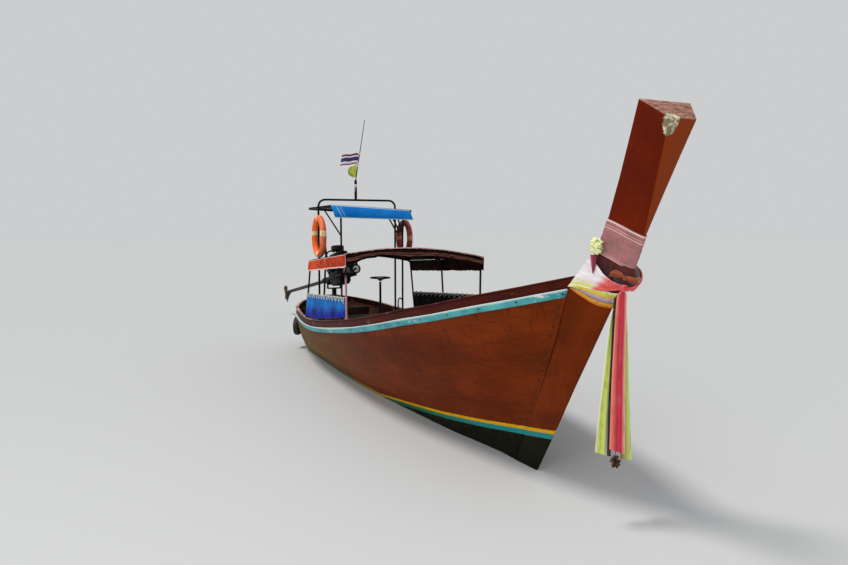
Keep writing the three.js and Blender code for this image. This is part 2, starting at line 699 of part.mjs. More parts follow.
// A round solid about its own vertical axis.
function turned(profile, sides) {
  const points = profile.map(([r, z]) => new THREE.Vector2(r, z));
  const geometry = new THREE.LatheGeometry([...points].reverse(), sides);
  geometry.rotateX(Math.PI / 2);
  geometry.deleteAttribute('normal');
  geometry.deleteAttribute('uv');
  const welded = mergeVertices(geometry, 1e-3);
  const flat = welded.toNonIndexed().attributes.position.array;
  const triangles = [];
  for (let k = 0; k < flat.length; k += 9) {
    const corner = (n) => Array.from(flat.slice(k + 3 * n, k + 3 * n + 3));
    triangles.push([corner(0), corner(1), corner(2)]);
  }
  return solidFrom(triangles);
}

// A turned solid laid along the boat: z of the profile becomes x.
function turnedAlong(profile, sides, z) {
  const geometry = turned(profile, sides);
  geometry.rotateY(Math.PI / 2);
  geometry.translate(0, 0, z);
  return geometry;
}

const swivel = new THREE.Group();
swivel.position.set(PIVOT.x, 0, PIVOT.z);
boat.add(swivel);

const engine = new THREE.Group();
engine.rotation.y = REST_TILT * DEG;
swivel.add(engine);

// Yoke that turns on the spindle and holds the tilt pin.
function swivelHead() {
  const { sleeve, plateHalf, cheekInner, cheekOuter, cheekFoot, cheekRound, pinEnd } = HEAD;
  const low = HEAD.plateBottom - PIVOT.z;
  const high = HEAD.plateTop - PIVOT.z;
  const foot = POST.top + 2 * GAP + SPINDLE.plate - PIVOT.z;
  const bore = SPINDLE.radius + RUNNING_GAP;
  const boreTop = SPINDLE.top + HEAD.boreEnd - PIVOT.z;
  const outside = turned([[0, foot], [sleeve, foot], [sleeve, low + 1], [0, low + 1]], ROUND);
  const inside = turned([[0, foot - 1], [bore, foot - 1], [bore, boreTop], [0, boreTop]], ROUND);
  const cheek = [[-cheekFoot, high - 2], [cheekFoot, high - 2]];
  for (let k = 0; k <= 8; k++) {
    const angle = (Math.PI * k) / 8;
    cheek.push([cheekRound * Math.cos(angle), cheekRound * Math.sin(angle)]);
  }
  const parts = [
    block(-plateHalf, plateHalf, -cheekOuter, cheekOuter, low, high),
    toManifold(sideOutline(cheek, cheekInner, cheekOuter)),
    toManifold(sideOutline(cheek, -cheekOuter, -cheekInner)),
    rod([0, -cheekOuter - pinEnd, 0], [0, cheekOuter + pinEnd, 0], PIN, 16),
    toManifold(outside),
  ];
  add('swivel_head', toGeometry(union(parts).subtract(toManifold(inside))), steel, swivel);
}

// Two rails, cross pieces and the tilt tube: the frame that the engine is bolted to.
function engineCradle() {
  const { inner, outer, bottom, top, aft, fore } = RAIL;
  const { frontWidth, aftWidth, aftTop, aftBottom, lugHalf, lugThick, lugFoot, lugHead, joinTop } = CRADLE;
  const lug = HEAD.cheekInner - CRADLE.lugInset;
  const aftEnd = aft + aftWidth;
  const parts = [
    block(fore - frontWidth, fore, -inner - 1, inner + 1, bottom, top),
    block(aft, aftEnd, -outer, outer, aftBottom, aftTop),
    rod([0, -lug, 0], [0, lug, 0], CRADLE.tiltTube, 16),
  ];
  const oneSide = union([
    block(aft, fore, inner, outer, bottom, top),
    block(aft, aftEnd, inner, outer, aftTop - 2, bottom + 2),
    block(-lugHalf, lugHalf, lug - lugThick, lug, lugFoot, lugHead),
    block(-lugHalf, lugHalf, lug - lugThick, inner + 4, bottom, joinTop),
  ]);
  parts.push(oneSide, oneSide.mirror([0, 1, 0]));
  const bore = rod([0, -lug - 5, 0], [0, lug + 5, 0], PIN + RUNNING_GAP, 16);
  add('engine_cradle', toGeometry(union(parts).subtract(bore)), steel, engine);
}

// Diesel engine: block with sump, head with cover, and what hangs on them.
function engineUnit() {
  const { aft, fore, sump, sumpHalf, sumpRise, waist, top, half } = BLOCK;
  const seat = RAIL.top + GAP;
  const halfProfile = [[sumpHalf, sump], [waist, sump + sumpRise], [waist, seat], [half, seat], [half, top]];
  const profile = [...halfProfile, ...halfProfile.map(([y, z]) => [-y, z]).reverse()];
  const bell = turnedAlong(BELL, ROUND, SHAFT_Z);
  add('engine_block', toGeometry(toManifold(endOutline(profile, aft, fore)).add(toManifold(bell))), castIron,
    engine);

  const foot = top + GAP;
  const head = block(aft + CYLINDER_HEAD.aftInset, fore - CYLINDER_HEAD.foreInset,
    -CYLINDER_HEAD.half, CYLINDER_HEAD.half, foot, foot + CYLINDER_HEAD.height);
  const cover = ROCKER_COVER;
  const halfCover = [[cover.half, foot + cover.foot], [cover.half, foot + cover.shoulder],
    [cover.topHalf, foot + cover.top]];
  const coverLine = [...halfCover, ...halfCover.map(([y, z]) => [-y, z]).reverse()];
  const lid = endOutline(coverLine, aft + cover.aftInset, fore - cover.foreInset);
  add('engine_head', toGeometry(head.add(toManifold(lid))), castIron, engine);

  const filterFoot = foot + cover.top + GAP;
  const filter = turned([[0, 0], ...AIR_CLEANER], ROUND);
  add('air_cleaner', filter, steel, engine).position.set(AIR_CLEANER_X, 0, filterFoot);

  const pulley = turnedAlong([[0, 0], ...PULLEY], ROUND, 0);
  add('front_pulley', pulley, brightSteel, engine).position.set(fore + GAP, 0, SHAFT_Z + PULLEY_RISE);

  const alternator = turnedAlong([[0, 0], ...ALTERNATOR], 16, 0);
  const alternatorY = half + Math.max(...ALTERNATOR.map(([r]) => r)) + GAP;
  add('alternator', alternator, brightSteel, engine)
    .position.set(ALTERNATOR_AT.x, alternatorY, ALTERNATOR_AT.z);

  const side = -(CYLINDER_HEAD.half + EXHAUST + RUNNING_GAP);
  const pipe = bentTube(EXHAUST_LINE.map(([x, z]) => [x, side, foot + z]), EXHAUST, 14);
  add('exhaust', pipe, steel, engine);

  const grip = bentTube(TILLER.line.map(([x, z]) => [RAIL.fore + x, 0, z]), TILLER.radius, 10);
  add('tiller', grip, steel, engine);
}

// The long tail: tube with its flange, bearing end and skeg.
function tail() {
  const { radius, start, end, bore, flange, flangeThick, lip, bearing } = TAIL;
  const boreEnd = end + TAIL.boreDepth;
  const front = start + flangeThick - GAP;
  const tube = toManifold(turnedAlong([
    [bore, end], [lip, end], [bearing, end + TAIL.bearingStart], [bearing, end + TAIL.bearingEnd],
    [radius, end + TAIL.shoulder], [radius, start - 2], [flange, start + 4], [flange, front],
    [0, front], [0, boreEnd], [bore, boreEnd], [bore, end],
  ], 16, SHAFT_Z));
  const outline = SKEG.points.map(([x, z]) => [end + x, SHAFT_Z + z]);
  const skeg = toManifold(sideOutline(outline, -SKEG.half, SKEG.half));
  add('tail_tube', toGeometry(tube.add(skeg)), steel, engine);
}

// Two-bladed propeller on the end of its shaft.
function propeller() {
  const { hub, hubLength, nose, noseLength, taperLength, bladeThick } = PROPELLER;
  const back = TAIL.end - PROPELLER.behind;
  const front = back - hubLength;
  const shaft = TAIL.bore - PROPELLER.shaftClearance;
  const shaftEnd = TAIL.end + PROPELLER.shaftLength;
  const boss = toManifold(turnedAlong([
    [0, front], [nose, front + noseLength], [hub, front + taperLength], [hub, back],
    [shaft, back], [shaft, shaftEnd], [0, shaftEnd],
  ], 16, 0));
  const outline = new THREE.Shape();
  outline.moveTo(...BLADE[0]);
  outline.bezierCurveTo(...BLADE[1], ...BLADE[2], ...BLADE[3]);
  outline.bezierCurveTo(...BLADE[4], ...BLADE[5], ...BLADE[6]);
  const pieces = [boss];
  for (const turn of [0, 180]) {
    const blade = new THREE.ExtrudeGeometry(outline, {
      depth: bladeThick, bevelEnabled: false, curveSegments: 7,
    });
    blade.translate(0, 0, -bladeThick / 2);
    blade.rotateY(PROPELLER.pitch * DEG);
    blade.rotateX(Math.PI / 2 + turn * DEG);
    blade.translate(back - hubLength / 2, 0, 0);
    pieces.push(toManifold(blade));
  }
  add('propeller', toGeometry(union(pieces)), bronze, engine).position.z = SHAFT_Z;
}

// Canopy lines along the boat. y tells the side: the eaves sag to port.
const share = (x) => (x - CANOPY.aft) / (CANOPY.fore - CANOPY.aft);
const canopyHalf = (x) => CANOPY.halfAft + share(x) * (CANOPY.halfFore - CANOPY.halfAft);

function eaveZ(x, y) {
  const sag = SAG.aft + share(x) * (SAG.fore - SAG.aft);
  const level = CANOPY.eaveAft + share(x) * (CANOPY.eaveFore - CANOPY.eaveAft);
  return level - (sag / 2) * (1 + y / canopyHalf(x));
}

const railY = (x) => canopyHalf(x) - CANOPY_TUBE - CANOPY_FIT.railInset;
const railZ = (x, side) =>
  eaveZ(x, side * canopyHalf(x)) - CANOPY_SHEET - CANOPY_TUBE - CANOPY_FIT.railDrop;

// Where the cap rail passes a given x: half-breadth of its middle, and its top.
function capAt(x) {
  const at = RINGS.findIndex((ring) => ring.out[1] === 1 && ring.x > x);
  const middle = COAMING.inset + COAMING.thick / 2;
  const [a, b] = [at - 1, at].map((k) => ringPoint(RINGS[k], SHEER, middle));
  const t = (x - a[0]) / (b[0] - a[0]);
  const top = COAMING.height + CAP_RAIL.thick;
  return { y: a[1] + t * (b[1] - a[1]), z: a[2] + t * (b[2] - a[2]) + top };
}

// All below the cap rail's top, so that a post's foot can be cut to sit on it.
function capCut() {
  const capTop = COAMING.height + CAP_RAIL.thick + GAP;
  const reach = CAP_RAIL.width + POST_FLANGE.radius;
  const column = (ring, inset) => [
    ringPoint(ring, SHEER, inset, -reach),
    ringPoint(ring, SHEER, inset, capTop),
  ];
  const rings = RINGS.filter((ring) => ring.out[1] === 1 && ring.x < BOW_STATIONS[0]);
  const side = (inset) => rings.map((ring) => column(ring, inset));
  return shell(side(-reach), side(reach));
}

function canopyFrame() {
  const sides = { port: 1, starboard: -1 };
  const cut = capCut();
  for (const [name, side] of Object.entries(sides)) {
    const at = (x) => [x, side * railY(x), railZ(x, side)];
    const { railEnd } = CANOPY_FIT;
    const parts = [rod(at(CANOPY.aft + railEnd), at(CANOPY.fore - railEnd), CANOPY_TUBE)];
    for (const x of CANOPY_POSTS) {
      const cap = capAt(x);
      const foot = [x, side * cap.y, cap.z - POST_FLANGE.sunk];
      parts.push(rod(foot, at(x), CANOPY_TUBE));
      parts.push(rod(foot, [x, side * cap.y, cap.z + POST_FLANGE.thick], POST_FLANGE.radius));
    }
    const below = cut.clone();
    below.scale(1, side, 1);
    const clear = toManifold(side > 0 ? below : turnedInsideOut(below));
    add(`canopy_side_${name}`, toGeometry(union(parts).subtract(clear)), tubePaint);
  }
  CANOPY_POSTS.forEach((x, k) => {
    const reach = railY(x) - CANOPY_TUBE + CANOPY_FIT.bowReach;
    const points = [-1, -0.75, -0.5, -0.25, 0, 0.25, 0.5, 0.75, 1].map((t) => {
      const y = t * reach;
      return [x, y, roofTop(x, y) - CANOPY_SHEET - CANOPY_TUBE - CANOPY_FIT.bowDrop];
    });
    add(`canopy_bow_${k + 1}`, bentTube(points, CANOPY_TUBE - CANOPY_FIT.bowThin, 12), tubePaint);
  });
}

// A mirrored geometry has its faces turned: this turns them out again.
function turnedInsideOut(geometry) {
  const index = Array.from(geometry.index.array);
  for (let k = 0; k < index.length; k += 3) {
    [index[k + 1], index[k + 2]] = [index[k + 2], index[k + 1]];
  }
  geometry.setIndex(index);
  return geometry;
}

function roofTop(x, y) {
  const part = y / canopyHalf(x);
  return eaveZ(x, y) + CAMBER * (1 - part * part);
}

function canopyCloth() {
  const top = [];
  const under = [];
  for (let i = 0; i <= 6; i++) {
    const x = CANOPY.aft + ((CANOPY.fore - CANOPY.aft) * i) / 6;
    const row = Array.from({ length: 13 }, (_, j) => (canopyHalf(x) * (j - 6)) / 6);
    top.push(row.map((y) => [x, y, roofTop(x, y)]));
    under.push(row.map((y) => [x, y, roofTop(x, y) - CANOPY_SHEET]));
  }
  const holes = [-1, 1].map((side) => rod([LEG.x, side * LEG.y, CANOPY.eaveAft],
    [LEG.x, side * LEG.y, LEG.shoulder], LEG.hole));
  add('canopy_roof', toGeometry(toManifold(shell(top, under)).subtract(union(holes))), roofCloth);
  const sides = { port: [1, darkRed], starboard: [-1, orangeCloth] };
  for (const [name, [side, material]] of Object.entries(sides)) {
    const grid = (out) => [CANOPY.aft, ...CANOPY_POSTS, CANOPY.fore].map((x) => {
      const cap = capAt(x);
      const high = railZ(x, side);
      const lean = (cap.y - railY(x)) / (high - cap.z);
      const face = railY(x) + CANOPY_TUBE + CANOPY_FIT.valance + out;
      const y = (z) => side * (face + lean * (high - z));
      const z = eaveZ(x, side * canopyHalf(x)) - CANOPY_SHEET - CANOPY_FIT.valance;
      return [[x, y(z - VALANCE[name]), z - VALANCE[name]], [x, y(z), z]];
    });
    add(`valance_${name}`, shell(grid(VALANCE.thick), grid(0)), material);
  }
}

// Curtain on the starboard side and board on the port side, inside the posts.
function sideScreens() {
  const screens = {
    side_board_port: [1, darkCloth, CURTAIN.boardLower],
    side_curtain_starboard: [-1, blueCloth, 0],
  };
  for (const [name, [side, material, lower]] of Object.entries(screens)) {
    const grid = (inset) => SCREEN_STATIONS.map((x) => {
      const cap = capAt(x);
      const t = share(x);
      const high = CURTAIN.topAft + t * (CURTAIN.topFore - CURTAIN.topAft) - lower;
      const lean = (railY(x) - cap.y) / (railZ(x, side) - cap.z);
      const y = (z) => side * (cap.y + lean * (z - cap.z) - CANOPY_TUBE - SCREEN_GAP - inset);
      const low = cap.z + CURTAIN.lift;
      return [[x, y(low), low], [x, y(high), high]];
    });
    add(name, shell(grid(0), grid(CURTAIN.thick)), material);
  }
}

// Hoop behind the helm, roof frame in front of it, roof, visor and mast.
function helmFrame() {
  const { x, half, top, corner, tube } = HOOP;
  const foot = THWARTS[0].top + GAP;
  const knee = [0, 0.25, 0.5, 0.75, 1].map((t) => {
    const angle = (t * Math.PI) / 2;
    return [x, half - corner + corner * Math.cos(angle), top - corner + corner * Math.sin(angle)];
  });
  const portHalf = [[x, half, foot], ...knee];
  const starboardHalf = portHalf.map(([, y, z]) => [x, -y, z]).reverse();
  add('helm_hoop', flatTube([...portHalf, ...starboardHalf], tube, [1, 0, 0]), tubePaint);

  const { aft, fore, half: reach, thick, tube: thin } = ROOF;
  const roofZ = (y) => ROOF.z - (ROOF.tilt * y) / reach;
  const sideY = half - tube - thin - RUNNING_GAP;
  const under = thick / 2 + thin + RUNNING_GAP;
  const rail = (place, side, lap = 0) => {
    const y = side * (sideY + lap);
    return [place, y, roofZ(y) - under];
  };
  const { aftInset, lap, endInset } = ROOF_CROSS;
  const frame = [
    rod(rail(fore - thin, -1, lap), rail(fore - thin, 1, lap), thin),
    rod(rail(aft + aftInset, -1), rail(aft + aftInset, 1), thin),
  ];
  for (const side of [-1, 1]) {
    const shoulder = [LEG.x, side * LEG.y, LEG.shoulder];
    const legTop = side * (LEG.y + LEG.out);
    frame.push(rod(rail(aft + endInset, side), rail(fore - thin, side), thin));
    frame.push(rod([LEG.x, side * LEG.y, THWARTS[1].top + GAP], shoulder, thin));
    frame.push(rod(shoulder, [fore - thin, legTop, roofZ(legTop) - under], thin));
    frame.push(rod(rail(BRACE.x, side), shoulder, thin - BRACE.thin));
  }
  add('helm_roof_frame', toGeometry(union(frame)), tubePaint);
  const slab = (rise) => [aft, fore].map((place) =>
    [-reach, reach].map((y) => [place, y, roofZ(y) + rise]));
  add('helm_roof', shell(slab(thick / 2), slab(-thick / 2)), tubePaint);

  const front = fore + RUNNING_GAP;
  const grid = (out) => [
    [[front + out, VISOR.lean - VISOR.half, VISOR.bottomStarboard],
      [front + out, -VISOR.half, VISOR.topStarboard]],
    [[front + out, VISOR.half, VISOR.bottomPort],
      [front + out, VISOR.half - VISOR.lean, VISOR.topPort]],
  ];
  add('visor', shell(grid(VISOR.thick), grid(0)), blueCloth);

  const base = top + tube + GAP;
  const mast = union([
    rod([x, MAST.y, base], [x, MAST.y, MAST.thickTop], MAST.thickRadius, 12),
    rod([x, MAST.y, MAST.thickTop - 4], [x, MAST.y + MAST.lean, MAST.top], MAST.radius, 8,
      MAST.tipRadius),
  ]);
  add('mast', toGeometry(mast), tubePaint);
  flag();
}

// Flag on the mast, blown out to starboard.
function flag() {
  const lean = MAST.lean / (MAST.top - MAST.thickTop);
  const taper = (MAST.radius - MAST.tipRadius) / (MAST.top - MAST.thickTop);
  const poleY = (z) => MAST.y - MAST.radius - GAP + (lean + taper) * (z - MAST.thickTop);
  const grid = (out) => [0, 1, 2, 3, 4].map((k) => {
    const part = k / 4;
    const x = HOOP.x - FLAG.trail * part + FLAG.wave * Math.sin(part * 2 * Math.PI) + out;
    const column = (z) => [x, poleY(z) - FLAG.length * part, z - FLAG.droop * part];
    return [column(FLAG.top - FLAG.height), column(FLAG.top)];
  });
  add('flag', shell(grid(FLAG.thick), grid(0)), flagCloth);
}

function lifeRings() {
  const y = HOOP.half + HOOP.tube + GAP + RING_SECTION;
  const colours = { port: ringFaded, starboard: ringOrange };
  for (const [name, { side, radius, z }] of Object.entries(RINGS_HUNG)) {
    const geometry = new THREE.TorusGeometry(radius, RING_SECTION, 8, 20);
    geometry.rotateX(Math.PI / 2);
    add(`life_ring_${name}`, geometry, colours[name]).position.set(HOOP.x + radius, side * y, z);
  }
}

function helm() {
  const { x, y, z, radius, rim, spoke, column } = WHEEL;
  const foot = THWARTS[1].top + GAP;
  const top = z - COLUMN_FOOT.clear;
  add('steering_column', turned([
    [0, foot], [COLUMN_FOOT.radius, foot], [COLUMN_FOOT.radius, foot + COLUMN_FOOT.plate],
    [column, foot + COLUMN_FOOT.cone], [column, top], [0, top],
  ], 16), tubePaint).position.set(x, y, 0);
  const parts = [
    toManifold(new THREE.TorusGeometry(radius, rim, 6, 24)),
    toManifold(turned([[0, WHEEL_HUB[0][1]], ...WHEEL_HUB], 14)),
  ];
  for (const turn of [90, 210, 330]) {
    const far = [radius * Math.cos(turn * DEG), radius * Math.sin(turn * DEG), 0];
    parts.push(rod([0, 0, 0], far, spoke, 8));
  }
  add('steering_wheel', toGeometry(union(parts)), rubber).position.set(x, y, z);
}

// Old tyre hung at the starboard quarter as a fender.
function tyreFender() {
  const { radius, section, turn, out, z } = TYRE;
  const x = STERN_CENTRE - Math.sin(turn * DEG) * out;
  const y = -(FACE + Math.cos(turn * DEG) * out);
  const geometry = new THREE.TorusGeometry(radius - section, section, 8, 16);
  geometry.rotateY(Math.PI / 2);
  geometry.rotateZ((90 - turn) * DEG);
  add('tyre_fender', geometry, rubber).position.set(x, y, z);
}

planking();
rubRails();
coamings();
keel();
sternPost();
stemPost();
frames();
sole();
thwarts();
decks();
engineBed();
swivelHead();
engineCradle();
engineUnit();
tail();
propeller();
canopyFrame();
canopyCloth();
sideScreens();
helmFrame();
lifeRings();
helm();
tyreFender();
bowCloths();

export default boat;
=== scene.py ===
import json
import math
import random

import bpy
import numpy
from mathutils import Matrix, Vector, noise
from mathutils.bvhtree import BVHTree

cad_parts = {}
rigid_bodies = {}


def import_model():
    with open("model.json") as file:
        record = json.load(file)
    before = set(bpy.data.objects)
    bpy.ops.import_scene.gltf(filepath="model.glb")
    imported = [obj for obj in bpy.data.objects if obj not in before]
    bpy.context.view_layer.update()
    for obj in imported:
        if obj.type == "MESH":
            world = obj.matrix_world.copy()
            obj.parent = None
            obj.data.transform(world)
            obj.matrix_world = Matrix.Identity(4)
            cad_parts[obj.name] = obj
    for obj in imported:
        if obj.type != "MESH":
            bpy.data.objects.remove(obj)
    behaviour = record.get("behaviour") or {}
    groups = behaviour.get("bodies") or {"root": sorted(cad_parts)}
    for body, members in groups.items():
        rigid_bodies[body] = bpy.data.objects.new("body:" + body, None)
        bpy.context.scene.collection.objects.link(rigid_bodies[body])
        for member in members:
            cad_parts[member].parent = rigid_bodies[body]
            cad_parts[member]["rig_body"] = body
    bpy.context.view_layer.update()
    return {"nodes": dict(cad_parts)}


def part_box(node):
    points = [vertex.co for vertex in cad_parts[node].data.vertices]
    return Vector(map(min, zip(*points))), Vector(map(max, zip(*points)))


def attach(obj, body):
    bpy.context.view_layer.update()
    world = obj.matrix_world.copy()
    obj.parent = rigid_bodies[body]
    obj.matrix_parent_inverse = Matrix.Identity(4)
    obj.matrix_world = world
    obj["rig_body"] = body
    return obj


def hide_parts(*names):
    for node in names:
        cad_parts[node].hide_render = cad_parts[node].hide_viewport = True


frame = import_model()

node = frame["nodes"]


# Camera: at eye height off the starboard bow, looking aft along the boat and a little down on it.
# The angles are in degrees, and the focal length is in pixels of the picture.
EYE = (8.616, -3.185, 2.20)
TILT_DOWN, TURN = 4.79, 67.2
SENSOR, FOCAL_PIXELS, PICTURE_WIDTH = 36, 650, 848
bpy.ops.object.select_all(action="DESELECT")
bpy.ops.object.camera_add(location=EYE, rotation=(math.radians(90 - TILT_DOWN), 0, math.radians(TURN)))
camera = bpy.context.object
camera.data.sensor_width = SENSOR
camera.data.lens = SENSOR * FOCAL_PIXELS / PICTURE_WIDTH
camera.data.clip_end = 300
bpy.context.scene.camera = camera


# Room: a plain pale floor at the waterline, a soft sun high at the left of the picture and one large
# lamp beside the camera.
class Term:
    """One shader value. An expression on terms and numbers becomes Math nodes."""

    def __init__(self, tree, socket):
        self.tree, self.socket = tree, socket

    def math(self, operation, *values):
        return put(self.tree, "ShaderNodeMath", dict(enumerate(values)), operation=operation)

    def __add__(self, other):
        return self.math("ADD", self, other)

    __radd__ = __add__

    def __sub__(self, other):
        return self.math("SUBTRACT", self, other)

    def __rsub__(self, other):
        return self.math("SUBTRACT", other, self)

    def __mul__(self, other):
        return self.math("MULTIPLY", self, other)

    __rmul__ = __mul__

    def __truediv__(self, other):
        return self.math("DIVIDE", self, other)

    def __pow__(self, other):
        return self.math("POWER", self, other)

    def __or__(self, other):
        return self.math("MAXIMUM", self, other)

    def __and__(self, other):
        return self.math("MINIMUM", self, other)

    def floor(self):
        return self.math("FLOOR", self)

    def fract(self):
        return self.math("FRACT", self)

    def sine(self):
        return self.math("SINE", self)

    def absolute(self):
        return self.math("ABSOLUTE", self)

    def row(self, pitch):
        """The distance to the nearest of a row of marks, which lie half a pitch off the origin."""
        return ((self / pitch).fract() - 0.5) * pitch


def put(tree, kind, inputs, out=0, stops=None, **settings):
    """Adds one node: its settings first, then the values or links of its sockets."""
    made = tree.nodes.new(kind)
    for name, value in settings.items():
        setattr(made, name, value)
    if stops:
        ramp = made.color_ramp
        while len(ramp.elements) < len(stops):
            ramp.elements.new(1)
        for element, (place, colour) in zip(ramp.elements, stops):
            element.position = place
            element.color = (*colour, 1)
    for name, value in inputs.items():
        if isinstance(value, Term):
            tree.links.new(value.socket, made.inputs[name])
        elif value is not None:
            made.inputs[name].default_value = value
    return Term(tree, made.outputs[out])


def srgb(red, green, blue):
    """A colour read, 0 to 255, as shader values."""
    return tuple(((c / 255 + 0.055) / 1.055) ** 2.4 if c > 10 else c / 255 / 12.92
                 for c in (red, green, blue))


def rgba(colour):
    """A shader value as it is, or a plain colour with full alpha."""
    return colour if isinstance(colour, Term) else (*colour, 1)


class Finish:
    """A material in the making: its coordinates, its noises and its shader."""

    def __init__(self, name, **fixed):
        self.material = bpy.data.materials.new(name)
        self.material.use_nodes = True
        self.tree = self.material.node_tree
        self.shader = self.tree.nodes["Principled BSDF"]
        for socket, value in {"Specular_IOR_Level": 0.2, **fixed}.items():
            self.shader.inputs[socket.replace("_", " ")].default_value = value
        self.at = put(self.tree, "ShaderNodeTexCoord", {}, "Object")
        self.x, self.y, self.z = self.split(self.at)

    def split(self, vector):
        made = self.tree.nodes.new("ShaderNodeSeparateXYZ")
        self.tree.links.new(vector.socket, made.inputs[0])
        return [Term(self.tree, socket) for socket in made.outputs]

    def join(self, x, y, z):
        return put(self.tree, "ShaderNodeCombineXYZ", {0: x, 1: y, 2: z})

    def uv(self):
        return self.split(put(self.tree, "ShaderNodeUVMap", {}))

    def stretched(self, by):
        return put(self.tree, "ShaderNodeVectorMath", {0: self.at, 1: by}, operation="MULTIPLY")

    def noise(self, scale, detail=4, rough=0.55, at=None):
        return put(self.tree, "ShaderNodeTexNoise", {
            "Vector": at or self.at, "Scale": scale, "Detail": detail, "Roughness": rough})

    def cells(self, scale):
        return put(self.tree, "ShaderNodeTexVoronoi", {"Vector": self.at, "Scale": scale}, "Distance")

    def random(self, value):
        return put(self.tree, "ShaderNodeTexWhiteNoise", {"W": value}, "Value", noise_dimensions="1D")

    def step(self, value, low, high):
        """A smooth change from 0 at low to 1 at high, which may be the smaller of the two."""
        return put(self.tree, "ShaderNodeMapRange", {
            "Value": value, "From Min": low, "From Max": high}, interpolation_type="SMOOTHSTEP")

    def mix(self, mask, first, second, **blend):
        values = {0: mask, 6: rgba(first), 7: rgba(second)}
        return put(self.tree, "ShaderNodeMix", values, 2, data_type="RGBA", **blend)

    def darker(self, mask, colour, tint):
        return self.mix(mask, colour, tint, blend_type="MULTIPLY")

    def give(self, socket, value):
        if isinstance(value, Term):
            self.tree.links.new(value.socket, self.shader.inputs[socket])
        else:
            self.shader.inputs[socket].default_value = value

    def done(self, colour, rough, height=None, depth=0.002, metal=0.0):
        """Wires up the shader. Height is the relief in shares of depth, in metres."""
        self.give("Base Color", rgba(colour))
        self.give("Roughness", rough)
        self.give("Metallic", metal)
        if height is not None:
            self.give("Normal", put(self.tree, "ShaderNodeBump", {
                "Height": height, "Strength": 1.0, "Distance": depth}))
        return self.material


def clear():
    """Leaves edit mode and deselects all."""
    if bpy.context.object and bpy.context.object.mode != "OBJECT":
        bpy.ops.object.mode_set(mode="OBJECT")
    bpy.ops.object.select_all(action="DESELECT")


def shining(way):
    """The rotation that turns a light to shine this way."""
    return Vector(way).to_track_quat("-Z", "Y").to_euler()


def solid_of(*names):
    """The named nodes' faces as one searchable surface."""
    corners, faces = [], []
    for name in names:
        start = len(corners)
        corners += [corner.co.copy() for corner in node[name].data.vertices]
        faces += [[start + k for k in face.vertices] for face in node[name].data.polygons]
    return BVHTree.FromPolygons(corners, faces)


# The floor lies at the waterline, so it is left out inside the hull. It is a ring of faces from the
# hull's outline, a little outside the inner face of the planks, out to the far edge.
FLOOR_REACH, IN_THE_PLANK, HALF_BEAM = 120, 0.006, 1.2
WATERLINE_AFT, WATERLINE_STEP = -3.55, 0.1
SKIN = solid_of("side_planks_port", "bottom_planks_port")
waterline = []
for k in range(71):
    x = WATERLINE_AFT + WATERLINE_STEP * k
    hit = SKIN.ray_cast(Vector((x, 0.012, 0.0004)), Vector((0, 1, 0)), HALF_BEAM)[0]
    if hit:
        waterline.append((x, hit.y + IN_THE_PLANK))
outline = waterline + [(x, -y) for x, y in reversed(waterline)]
clear()
bpy.ops.mesh.primitive_circle_add(vertices=len(outline))
floor = bpy.context.object
floor.name = "floor"
for corner, (x, y) in zip(floor.data.vertices, outline):
    corner.co = (x, y, 0)
bpy.ops.object.mode_set(mode="EDIT")
bpy.ops.mesh.select_all(action="SELECT")
bpy.ops.mesh.extrude_region_move()
bpy.ops.object.mode_set(mode="OBJECT")
for corner in floor.data.vertices[len(outline):]:
    corner.co *= FLOOR_REACH / max(abs(corner.co.x), abs(corner.co.y))
pale = Finish("pale_floor", Specular_IOR_Level=0.0)
floor.data.materials.append(pale.done((0.52, 0.53, 0.54), 0.95))

SUN_WAY, SUN_SPREAD = (0.50, 0.85, -2.6), 14
clear()
bpy.ops.object.light_add(type="SUN", rotation=shining(SUN_WAY))
sun = bpy.context.object.data
sun.energy, sun.angle, sun.color = 1.9, math.radians(SUN_SPREAD), (1.0, 0.97, 0.92)

LAMP_PLACE, LAMP_AIM = Vector((10.0, -9.0, 5.0)), Vector((2.5, 0, 1.2))
clear()
bpy.ops.object.light_add(type="AREA", location=LAMP_PLACE)
bpy.context.object.rotation_euler = shining(LAMP_AIM - LAMP_PLACE)
lamp = bpy.context.object.data
lamp.shape, lamp.size, lamp.energy, lamp.color = "DISK", 7.0, 330, (1.0, 0.98, 0.96)

world = bpy.context.scene.world or bpy.data.worlds.new("room")
bpy.context.scene.world = world
world.use_nodes = True
sky = world.node_tree.nodes["Background"].inputs
sky["Color"].default_value = (0.97, 0.985, 1.0, 1)
sky["Strength"].default_value = 0.62
bpy.context.scene.view_settings.view_transform = "Standard"


# Hull planks: wide hardwood boards bent round the frames, flush at the seams and painted orange-brown
# over old coats. A yellow and a teal stripe run above the dark bottom paint. The boards are a finer
# copy of the frame's skin; seams, nails and stripes are in the paint. Lines are given as (x, z).
SHEER = [(-2.9, .698), (-2.4, .685), (-1.8, .678), (-1.2, .70), (-.6, .763), (0, .843), (.6, .93),
         (1.2, 1.024), (1.8, 1.14), (2.4, 1.27), (2.906, 1.372), (3.48, 1.507), (3.99, 1.622),
         (4.45, 1.735)]
KEEL_LINE = [(-3.9, .10), (-2.9, -.32), (-1.2, -.325), (0, -.30), (1.2, -.265), (2.4, -.205),
             (3.0, -.135), (3.4, -.05)]
STRAKES, BUTTS_PER_METRE, RIB_PITCH, NAIL_PITCH = 9, 0.31, 0.30, 0.085
NAILS_PER_STRAKE, NAIL_ROW, MERGED_WITHIN = 3, 0.055, 0.00005
SEAM_FOOT, SEAM_RAKE, SEAM_BACK = 3.400, 0.605, 0.045
STRIPE_LEVEL, STRIPE_RISES_AT, STRIPE_SLOPE = 0.045, 0.3, 0.1148
STRIPE_BENDS_AT, STRIPE_BEND = 3.0, 0.027
YELLOW_WIDE, TEAL_WIDE = 0.034, 0.050
